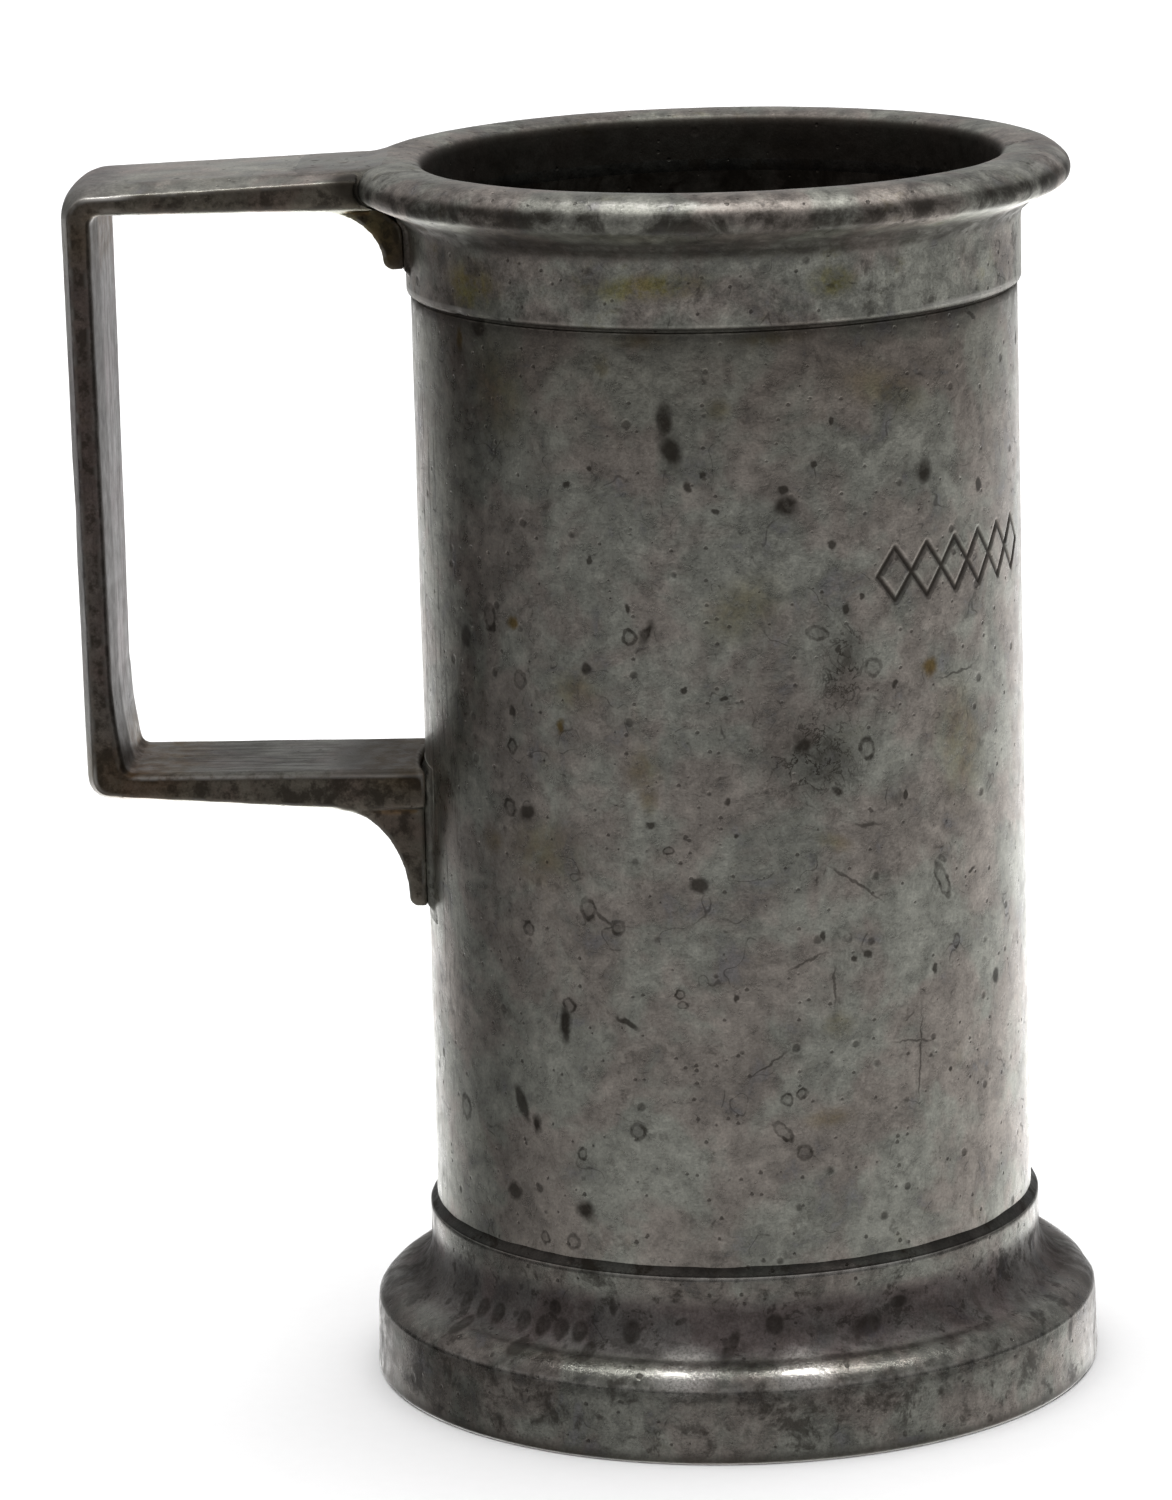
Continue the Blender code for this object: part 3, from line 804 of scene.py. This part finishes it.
SMUDGES = [
    (-13, 60, 2.6, 3.2), (-12, 57.6, 1.4, 2.4), (-47, 52.2, 2.2, 1.8), (22.7, 37, 2.4, 1.8),
    (20.6, 28.8, 3.8, 1.5), (2.5, 91, 1.8, 1.6), (-19, 94.8, 1.2, 1.6), (22.5, 53.2, 2.8, 1.2, -20),
    (12, 97, 5.0, 1.0), (-12, 96.9, 4.4, 1.1), (-42, 92, 5.0, 7.0, 10), (34, 92, 8.0, 3.0, -20),
    (-34, 52, 6.0, 5.0), (6, 74, 6.0, 4.0, 30), (-26, 66.5, 4.0, 3.0), (52, 60, 5.0, 9.0, 10),
]
RUST = [
    (-39.9, 71.9, 1.3, 1.2), (-29.3, 63.3, 0.8, 1.4), (44, 67.2, 1.8, 1.7), (-53, 95.8, 1.0, 2.2),
]
SCRATCHES = [
    (26.5, 49.4, 0.22, 5.4, 54), (38.7, 34.5, 0.2, 3.7, 83), (29, 54.4, 0.3, 2.2, 86),
    (16.7, 42.9, 0.2, 3.0, -68), (51.5, 66.2, 0.2, 4.4, -86), (24, 68.9, 0.22, 2.2, -8),
    (-21.5, 46.7, 0.3, 2.2, 52), (22, 40.5, 0.2, 3.2), (40, 33, 0.18, 7.0, -4), (9, 34, 0.16, 4.0, -58),
]

REACH = 2.0


def nearest(s, where, marks):
    """The smallest distance to a mark, in the marks' own half sizes, up to REACH."""
    found = None
    for angle, height, width, length, *lean in marks:
        inputs = {
            "Vector": where,
            "Location": (radians(angle) * BARREL_FOOT * 1000, height, 0.0),
            "Rotation": (0.0, 0.0, radians(sum(lean))),
            "Scale": (width / 2 * REACH, length / 2 * REACH, 1.0),
        }
        local = s.add("Mapping", inputs, vector_type="TEXTURE")
        near = s.add("TexGradient", {0: local}, output=1, gradient_type="SPHERICAL")
        found = near if found is None else s.math("MAXIMUM", found, near)
    return s.math("MULTIPLY_ADD", found, -REACH, REACH)


def speckles(s, vector, cell, share, small, large):
    """Round specks, one to a cell: (distance from the middle in the speck's radii, 1 in the cells kept)."""
    inputs = {"Vector": vector, "Scale": 1 / cell}
    distance = s.add("TexVoronoi", inputs, output=0)
    colour = s.add("TexVoronoi", inputs, output=1)
    parts = s.tree.nodes.new("ShaderNodeSeparateColor")
    s.tree.links.new(colour, parts.inputs[0])
    radius = s.remap(parts.outputs[1], 0.0, 1.0, small / cell, large / cell)
    return s.math("DIVIDE", distance, radius), s.math("LESS_THAN", parts.outputs[0], share)


class Pewter(Shader):
    """Old pewter: mottled, specked and scratched, with dark grime where it isn't rubbed bright. Its dark
    colour also carries painted shade, and its rubbed colour painted highlights, where a material asks for
    them.
    """

    def __init__(self, name, level=0.33, grime=0.4, cover=0.2, green=0.3, contrast=1.0):
        super().__init__(name)
        place = self.place
        self.broad = broad = self.noise(place, 8.0, 3.0, 0.6, 0.4)
        self.second = second = self.noise(self.shifted(31, 7, 19), 4.2, 6.0, 0.68, 0.5)
        self.middle = middle = self.noise(self.shifted(3, 57, 11), 1.6, 5.0, 0.68)
        self.grain = grain = self.noise(place, 0.24, 3.0, 0.75)

        green_tone, pink_tone = (1.0, 1.0, 0.885, 1.0), (1.075, 0.965, 0.865, 1.0)
        tone = self.mix(self.remap(broad, 0.42, 0.58), pink_tone, green_tone)
        tone = self.mix(self.remap(second, 0.58, 0.7, 0.0, 0.6), tone, (0.99, 0.97, 1.01, 1.0))
        fifth = 0.2 * contrast
        more = 0.22 * contrast
        value = self.times(
            self.remap(middle, 0.3, 0.7, 1 - more, 1 + more),
            self.remap(grain, 0.25, 0.75, 1 - fifth, 1 + fifth),
            self.remap(second, 0.36, 0.64, 1 + fifth, 1 - more),
            self.remap(broad, 0.35, 0.65, 0.93, 1.07),
            level,
        )
        bright = self.add("CombineColor", {0: value, 1: value, 2: value})
        self.colour = self.mix(1.0, bright, tone, "MULTIPLY")

        specks, kept = speckles(self, place, 2.3, 0.4, 0.1, 0.45)
        soft = self.times(self.remap(specks, 1.25, 0.55), kept)
        tiny, tiny_kept = speckles(self, self.shifted(9, 4, 2), 0.9, 0.35, 0.06, 0.2)
        small = self.times(self.remap(tiny, 1.2, 0.6), tiny_kept)
        self.dark = self.math("MAXIMUM", self.times(soft, 0.55), self.times(small, 0.6))
        blotches = self.noise(self.shifted(71, 3, 5), 3.0, 7.0, 0.75, 0.3)
        start = 0.64 - 0.22 * cover
        self.darken(self.remap(blotches, start, start + 0.12, 0.0, grime))
        hair = self.math("SUBTRACT", self.noise(self.shifted(17, 9, 41), 5.5, 2.0, 0.5), 0.5)
        hair = self.remap(self.math("ABSOLUTE", hair), 0.007, 0.002)
        self.darken(hair, self.remap(second, 0.5, 0.62), 0.5)
        moss = self.noise(self.shifted(5, 83, 29), 4.0, 5.0, 0.7)
        self.tint(self.remap(moss, 0.58, 0.74, 0.0, green), (0.66, 0.62, 0.34))
        self.shine = None
        self.dulled = 0.0
        self.pits = self.math("ADD", self.times(small, 0.05), self.times(soft, 0.03))

    def tint(self, share, tone):
        """Tints the metal, by share, with a colour that multiplies it: real stains, and in places painted
        shade and painted highlights.
        """
        tinted = self.mix(1.0, self.colour, (*tone, 1.0), "MULTIPLY")
        self.colour = self.mix(share, self.colour, tinted)

    # Darkens towards the dark colour: real grime, and in places painted shade.
    def darken(self, *shares):
        self.dark = self.math("MAXIMUM", self.dark, self.times(*shares))

    def wear_and_sheen(self, *shares):
        """Rubbed bright where the shares' product is 1; in places this is a painted highlight rather than
        wear.
        """
        share = self.times(*shares)
        self.shine = share if self.shine is None else self.math("MAXIMUM", self.shine, share)

    def finish(self, roughness=0.3, bump=1.0):
        # The dark colour: grime, and painted shade where a material darkens for it.
        dirt_and_shade = (0.03, 0.024, 0.018, 1.0)
        colour = self.mix(self.dark, self.colour, dirt_and_shade)
        rough = self.remap(self.middle, 0.3, 0.7, roughness - 0.05, roughness + 0.08)
        rough = self.math("ADD", rough, self.times(self.dark, 0.2))
        rough = self.math("ADD", rough, self.dulled)
        # The rubbed colour: worn bright metal, and painted highlights where a material asks for them.
        if self.shine is not None:
            colour = self.mix(self.shine, colour, (0.72, 0.7, 0.66, 1.0))
            rough = self.math("SUBTRACT", rough, self.times(self.shine, 0.06))
        height = self.math("ADD", self.times(self.grain, 0.014), self.times(self.middle, 0.045))
        height = self.math("SUBTRACT", height, self.pits)
        inputs = {"Strength": bump, "Distance": mm(1), "Height": height}
        self.feed(self.surface.inputs["Base Color"], colour)
        self.feed(self.surface.inputs["Roughness"], self.math("MINIMUM", rough, 0.85))
        self.feed(self.surface.inputs["Metallic"], self.remap(self.dark, 0.0, 1.0, 0.98, 0.94))
        self.feed(self.surface.inputs["Normal"], self.add("Bump", inputs))
        return self.material


def add_barrel_marks(s):
    flat, height = s.unrolled()
    shake = s.add("TexNoise", {"Vector": s.place, "Scale": 1.3, "Detail": 3.0}, output=1)
    centred = s.add("VectorMath", {0: shake, 1: (0.5, 0.5, 0.5)}, operation="SUBTRACT")
    offset = s.add("VectorMath", {0: centred, "Scale": 0.7}, operation="SCALE")
    where = s.add("VectorMath", {0: flat, 1: offset}, operation="ADD")

    rings = nearest(s, where, RINGS)
    faded = s.remap(s.middle, 0.35, 0.6, 1.0, 0.55)
    outline = s.times(s.remap(rings, 0.5, 0.8), s.remap(rings, 1.3, 1.02), faded)
    filled = s.times(s.remap(rings, 1.05, 0.85), 0.22)
    spots = s.remap(nearest(s, where, SPOTS), 1.35, 0.65)
    blots = s.remap(nearest(s, where, BLOTS), 1.6, 0.5)
    smudges = s.remap(nearest(s, where, SMUDGES), 1.8, 0.2)
    scratches = s.remap(nearest(s, where, SCRATCHES), 1.6, 0.6)
    rust = s.remap(nearest(s, where, RUST), 1.4, 0.4)

    patch = nearest(s, where, [(19, 61, 10.5, 9.5, 20), (25, 68, 4.6, 10.0, -8)])
    veins = s.noise(s.shifted(13, 5, 47), 2.2, 4.0, 0.66, 0.5)
    veins = s.math("ABSOLUTE", s.math("SUBTRACT", veins, 0.5))

    s.darken(outline, 0.85)
    s.darken(filled)
    s.darken(spots, 0.8)
    s.darken(blots, s.remap(s.middle, 0.3, 0.5, 0.6, 1.0), 0.92)
    s.darken(scratches, 0.6)
    s.darken(s.remap(patch, 1.3, 0.2), s.remap(s.middle, 0.38, 0.6, 0.25, 0.75))
    s.darken(s.remap(patch, 1.5, 0.3), s.remap(veins, 0.05, 0.0), 0.88)
    s.tint(s.times(smudges, s.remap(s.middle, 0.3, 0.6, 0.3, 1.0)), (0.72, 0.67, 0.54))
    s.tint(rust, (0.66, 0.5, 0.24))
    s.darken(rust, 0.15)
    s.darken(s.attribute("cut"), 0.88)
    return flat, height


def barrel_pewter():
    s = Pewter("barrel_pewter", level=0.34, grime=0.36, cover=0.36, green=0.14, contrast=0.95)
    flat, height = add_barrel_marks(s)
    # Painted shade under the collar and lip: a dark strip just below the band.
    shade_under_collar = s.remap(height, BAND_BOTTOM * 1000 - 3.2, BAND_BOTTOM * 1000)
    s.darken(shade_under_collar, s.remap(s.middle, 0.35, 0.6, 0.2, 1.0), 0.6)
    # Painted shade inside the bore.
    s.darken(s.attribute("inside"), s.remap(s.second, 0.4, 0.6, 0.8, 0.97))
    # Painted shade: the barrel darker towards the top, under the lip.
    s.tint(s.remap(height, 80, 97), (0.76, 0.74, 0.72))
    # Painted shade in the reflection down the barrel's left side, broken into vertical streaks.
    streaky = s.noise(s.stretched(1.0, 1.0, 0.08), 0.5, 3.0, 0.6)
    left = nearest(s, flat, [(-82, 60, 26, 110)])
    s.darken(s.remap(left, 1.1, 0.6), s.remap(streaky, 0.52, 0.66, 0.0, 0.5))
    return s.finish()


def collar_pewter():
    s = Pewter("collar_pewter", level=0.33, grime=0.52, cover=0.45, green=0.55, contrast=1.2)
    flat, height = s.unrolled()
    top = RIM * 1000
    bottom = BAND_BOTTOM * 1000
    # Painted shade on the band's rounded lower edge, above the step to the barrel.
    s.darken(s.remap(height, bottom + 0.35, bottom + 0.1, 0.0, 0.7))
    # Painted shade in the cove under the lip, and a painted dark reflection band on the lip's nose.
    cove = s.times(s.remap(height, 103.2, 104.3), s.remap(height, 106.0, 105.1))
    s.darken(cove, s.remap(s.middle, 0.3, 0.6, 0.5, 0.82))
    nose = s.times(s.remap(height, 106.2, 107.0), s.remap(height, top - 0.9, top - 1.5))
    s.darken(nose, s.remap(s.second, 0.4, 0.6, 0.35, 0.8))
    moss = nearest(s, flat, [(24, 101.5, 3.6, 2.4), (-48, 100.5, 6.0, 4.0), (-10, 101.5, 9.0, 2.2, 5)])
    moss = s.times(s.remap(moss, 1.6, 0.4), s.remap(s.middle, 0.38, 0.62, 0.2, 1.0))
    s.tint(moss, (0.68, 0.64, 0.34))
    out = s.distance_out()
    bore, lip = BORE * 1000, LIP * 1000
    # Painted shade inside the mouth, on the bore side of the collar.
    s.darken(s.remap(out, bore + 0.75, bore + 0.1), 0.9)
    edge = s.times(s.remap(out, lip - 1.7, lip - 1.1), s.remap(height, top - 1.2, top - 0.6))
    rubbed = s.remap(nearest(s, flat, [(-8, top, 11, 8), (75, top, 10, 8)]), 1.5, 0.6, 0.25, 1.0)
    s.wear_and_sheen(edge, rubbed, s.remap(s.middle, 0.42, 0.62, 0.0, 0.45))
    # A painted highlight along the band's lower edge at the left and right, set through the rubbed colour.
    hem_top = s.remap(height, bottom + 0.85, bottom + 0.6)
    hem_foot = s.remap(height, bottom + 0.25, bottom + 0.45)
    sides = s.remap(nearest(s, flat, [(-68, bottom, 20, 8), (62, bottom, 16, 8)]), 1.3, 0.7)
    s.wear_and_sheen(hem_top, hem_foot, sides, 0.5)
    return s.finish(roughness=0.43, bump=1.3)


def foot_pewter():
    s = Pewter("foot_pewter", level=0.235, grime=0.66, cover=0.6, green=0.16, contrast=1.15)
    flat, height = s.unrolled()
    top = FOOT_TOP * 1000
    neck = s.remap(height, top - 0.5, top - 0.2)
    right = s.remap(nearest(s, flat, [(14, top, 24, 8)]), 1.6, 0.5, 0.12, 1.0)
    s.wear_and_sheen(neck, right, s.remap(s.middle, 0.35, 0.6, 0.1, 0.5))
    cove = s.times(s.remap(height, 8.0, 8.9), s.remap(height, 13.8, 12.0))
    s.darken(cove, s.remap(s.middle, 0.44, 0.6, 0.04, 0.42))
    s.tint(cove, (0.92, 0.87, 0.93))
    ovolo = s.times(s.remap(height, 6.3, 6.8), s.remap(height, 8.6, 8.0))
    s.dulled = s.math("SUBTRACT", s.times(cove, 0.3), s.times(ovolo, 0.04))
    ends = s.remap(nearest(s, flat, [(-90, 4, 24, 30), (92, 4, 14, 30)]), 1.2, 0.5)
    s.darken(ends, s.remap(s.middle, 0.36, 0.6, 0.4, 0.75))
    drops = [(angle, 9.8, 1.5, 1.7, 12) for angle in (-56, -50.5, -46, -39.5, -35, -31, -27)]
    drops += [(-52, 8.4, 1.4, 1.3), (-37, 8.2, 1.5, 1.2), (-24, 8.6, 1.2, 1.3), (-33, 11.4, 1.3, 1.4)]
    drops += [(-20.9, 12.2, 0.7, 1.7, 4), (-17, 10.2, 1.6, 2), (9, 11, 1.6, 1.8), (26, 10.2, 3, 1.6, 10)]
    drops += [(-8, 11.3, 1.2, 0.5, 30), (33, 11.6, 1.8, 1.2), (1, 9.4, 2.6, 1, 60)]
    drops = s.remap(nearest(s, flat, drops), 1.4, 0.7)
    s.darken(drops, s.remap(s.middle, 0.35, 0.6, 0.45, 0.8))
    arris = s.times(s.remap(height, 6.2, 6.45), s.remap(height, 6.95, 6.7))
    s.wear_and_sheen(arris, s.remap(s.middle, 0.38, 0.6, 0.0, 0.2))
    # Painted highlights: two bright patches on the ovolo at the front, under the lamps, set through the
    # rubbed colour.
    painted_highlights = s.remap(nearest(s, flat, [(-6.5, 7.7, 4.0, 2.6), (12.5, 7.6, 3.6, 2.4)]), 1.7, 0.3)
    s.wear_and_sheen(painted_highlights, s.remap(s.grain, 0.3, 0.62, 0.25, 0.9))
    s.darken(s.remap(height, 1.3, 0.3), 0.7)
    return s.finish(roughness=0.27)


def handle_pewter():
    s = Pewter("handle_pewter", level=0.3, grime=0.42, cover=0.25, green=0.3, contrast=0.9)
    # Painted shade on the strap's front and back faces: darkened, and tinted brown.
    side = s.attribute("side")
    s.tint(side, (0.95, 0.85, 0.78))
    s.darken(side, s.remap(s.middle, 0.4, 0.62, 0.5, 0.9))
    # A painted dark reflection on the grip's inner face, along its front edge.
    s.darken(s.attribute("band"), 0.85)
    s.tint(s.blob((AXIS - 29.5, -6, 103), (4.5, 6, 5)), (0.84, 0.78, 0.46))
    brown = s.blob((GRIP + 5, 0, 56), (9, 16, 5))
    brown = s.math("MAXIMUM", brown, s.blob((GRIP + 3, 0, 104), (4, 16, 5)))
    brown = s.math("MAXIMUM", brown, s.blob((AXIS - 28, 0, 56), (6, 16, 4)))
    s.tint(s.times(brown, s.remap(s.middle, 0.3, 0.6, 0.5, 1.0)), (0.62, 0.44, 0.24))
    low_arm = s.blob((AXIS - 41, 0, 56.5), (17, 14, 3.5))
    drawn = s.noise(s.stretched(0.12, 1.0, 1.0), 0.7, 4.0, 0.65)
    s.darken(low_arm, s.remap(drawn, 0.4, 0.62, 0.3, 0.68))
    s.darken(s.blob((AXIS - 30, 0, 56), (9, 14, 3)), 0.72)
    lilac = s.blob((GRIP + 3, 0, 82), (5, 22, 44))
    s.tint(lilac, (0.92, 0.87, 0.99))
    drawn_up = s.noise(s.stretched(1.0, 1.0, 0.1), 0.6, 4.0, 0.65)
    s.darken(lilac, s.remap(drawn_up, 0.38, 0.62, 0.5, 0.74))
    # A painted highlight: the top arm's up-facing faces are lightened.
    s.tint(s.attribute("top"), (1.45, 1.43, 1.43))
    # The strap's outward edges lighten: partly rubbed bright metal, partly a painted highlight along them,
    # strongest at the grip's top corner and the lower arm's front edge.
    edge = s.remap(s.attribute("edge"), 0.13, 0.34)
    rubbed = s.blob((GRIP + 4.5, HANDLE_LOW.y * 1000, 108.5), (3.5, 3, 3))
    inner_end = s.blob((AXIS - 31, -7, 55.8), (6, 3, 3))
    rubbed = s.math("MAXIMUM", rubbed, s.times(inner_end, 0.6))
    low_edge = s.blob((AXIS - 43, -7.0, 55.7), (24, 2.6, 2.2))
    rubbed = s.math("MAXIMUM", rubbed, s.times(low_edge, s.remap(s.middle, 0.36, 0.6, 0.1, 0.75)))
    worn = s.math("MAXIMUM", s.remap(s.middle, 0.44, 0.64, 0.03, 0.24), rubbed)
    hollow = s.remap(s.attribute("hollow"), 0.05, 0.24)
    s.tint(hollow, (0.9, 0.68, 0.4))
    s.darken(hollow, s.remap(s.middle, 0.35, 0.6, 0.35, 0.8))
    # Painted shade in the crevice where the top arm meets the lip; it also keeps the edge highlight off it.
    crevice = s.blob((AXIS - 30.6, -8.4, 108.2), (3.6, 3.0, 3.4))
    s.darken(crevice, 0.92)
    s.wear_and_sheen(edge, worn, s.math("SUBTRACT", 1.0, crevice))
    return s.finish(roughness=0.33)


def base_pewter():
    s = Pewter("base_pewter", level=0.2, grime=0.8, cover=0.7, green=0.3)
    return s.finish(roughness=0.5)


def solder_metal(name, level):
    s = Pewter(name, level=level, grime=0.8, cover=0.6, green=0.35)
    return s.finish(roughness=0.45, bump=1.4)


def floor_paint():
    s = Shader("floor_paint")
    cloud = s.noise(s.place, 60.0)
    fine = s.noise(s.place, 1.5, 2.0)
    shade = s.math("ADD", s.remap(cloud, 0.3, 0.7, 0.9, 0.92), s.remap(fine, 0.3, 0.7, -0.004, 0.004))
    s.feed(s.surface.inputs["Base Color"], s.add("CombineColor", {0: shade, 1: shade, 2: shade}))
    s.feed(s.surface.inputs["Roughness"], s.remap(fine, 0.3, 0.7, 0.85, 0.95))
    s.feed(s.surface.inputs["Specular IOR Level"], 0.1)
    return s.material


# --- Stage ---


def build_camera():
    data = bpy.data.cameras.new("camera")
    data.sensor_width = 36
    data.lens = 158.87
    data.clip_end = 20
    camera = add_object("camera", data)
    place = Matrix.Translation((AXIS_X + mm(22.3), mm(-574.2), mm(186.5)))
    turn = Matrix.Rotation(radians(3.451), 4, "Z") @ Matrix.Rotation(radians(77.214), 4, "X")
    camera.matrix_world = place @ turn @ Matrix.Rotation(radians(-1.578), 4, "Z")
    bpy.context.scene.camera = camera


def build_floor():
    half = 6.0
    shape = bmesh.new()
    bmesh.ops.create_grid(shape, x_segments=12, y_segments=12, size=half)
    mesh = bpy.data.meshes.new("studio_floor")
    shape.to_mesh(mesh)
    shape.free()
    floor = add_object("studio_floor", mesh)
    floor.location.z = -mm(0.02)
    mesh.materials.append(floor_paint())
    floor.visible_glossy = False


def area_light(name, place, aim, size, power, shows_in_metal):
    data = bpy.data.lights.new(name, "AREA")
    data.shape = "RECTANGLE"
    data.size, data.size_y = size
    data.energy = power
    light = add_object(name, data)
    light.location = place
    light.rotation_euler = (Vector(aim) - Vector(place)).to_track_quat("-Z", "Y").to_euler()
    light.visible_camera = False
    light.visible_glossy = shows_in_metal
    light.visible_diffuse = not shows_in_metal


def build_lights():
    target = (AXIS_X, 0.0, mm(50))
    area_light("floor_light", (AXIS_X, 0.3, 2.6), target, (4.5, 4.5), 150.0, False)
    area_light("left_softbox", (AXIS_X - 0.12, 0.0, 1.05), target, (0.04, 0.8), 1.5, True)
    area_light("right_softbox", (AXIS_X + 0.2, 0.0, 1.05), target, (0.04, 0.8), 1.5, True)


# Brightness of the room by direction: 0.5 is the camera's side, 0.25 the left, 0.75 the right and 0 behind.
ROOM = [
    (0.0, 2.0), (0.045, 1.6), (0.09, 0.85), (0.12, 0.45), (0.155, 0.2), (0.185, 0.1), (0.24, 0.1),
    (0.29, 0.24), (0.42, 0.29), (0.5, 0.29), (0.58, 0.29), (0.66, 0.33), (0.75, 0.4), (0.82, 0.52),
    (0.87, 0.75), (0.92, 1.25), (0.97, 1.8), (1.0, 2.0),
]


def build_world():
    """A pale room that is darker on the camera's side, as the metal sees it, and plain white behind."""
    world = bpy.data.worlds.new("studio")
    bpy.context.scene.world = world
    s = Nodes(world)
    x, y, z = s.parts(s.add("TexCoord", {}, output=0))
    turn = s.math("ARCTAN2", x, s.math("MULTIPLY", y, -1.0))
    ramp = s.tree.nodes.new("ShaderNodeValToRGB")
    s.feed(ramp.inputs[0], s.math("MULTIPLY_ADD", turn, 1 / (2 * pi), 0.5))
    elements = ramp.color_ramp.elements
    for place, level in ROOM[1:-1]:
        elements.new(place)
    for element, (place, level) in zip(elements, ROOM):
        element.color = (level, level, level, 1.0)
    limits = {"From Min": -0.32, "From Max": -0.08, "To Min": 1.9, "To Max": 0.3}
    below = s.add("MapRange", {"Value": z} | limits)
    room = s.mix(1.0, ramp.outputs[0], below, "MULTIPLY")
    lit = s.mix(s.remap(z, 0.05, 0.5), room, (0.38, 0.375, 0.38, 1.0))
    shown = s.mix(s.add("LightPath", {}), lit, (1.0, 1.0, 1.0, 1.0))
    s.feed(s.tree.nodes["Background"].inputs["Color"], shown)


# --- All together ---


def paint(obj, material):
    obj.data.materials.clear()
    obj.data.materials.append(material)


def main():
    bpy.context.scene.view_settings.view_transform = "Standard"
    build_camera()
    build_floor()
    build_lights()
    build_world()

    paint(build_barrel(), barrel_pewter())
    paint(build_collar(), collar_pewter())
    paint(build_foot(), foot_pewter())
    paint(build_base(), base_pewter())
    strap = handle_pewter()
    paint(build_handle(), strap)

    dull = solder_metal("dull_solder", 0.06)
    paint(build_foot_fillet(), dull)
    paint(build_bore_seam(), dull)
    paint(build_base_bead(), solder_metal("base_solder", 0.24))
    top_pad = build_root_pad(
        "upper_root_solder", collar_radius, mm(6.35), mm(100.3), mm(104.4), "handle_upper_solder"
    )
    low_pad = build_root_pad(
        "lower_root_solder", lambda height: BARREL_FOOT, mm(6.75), mm(43.4), mm(54.9), "handle_lower_solder"
    )
    joint = solder_metal("joint_solder", 0.32)
    paint(top_pad, joint)
    paint(low_pad, joint)
    paint(build_lip_bridge(), handle_pewter())


main()
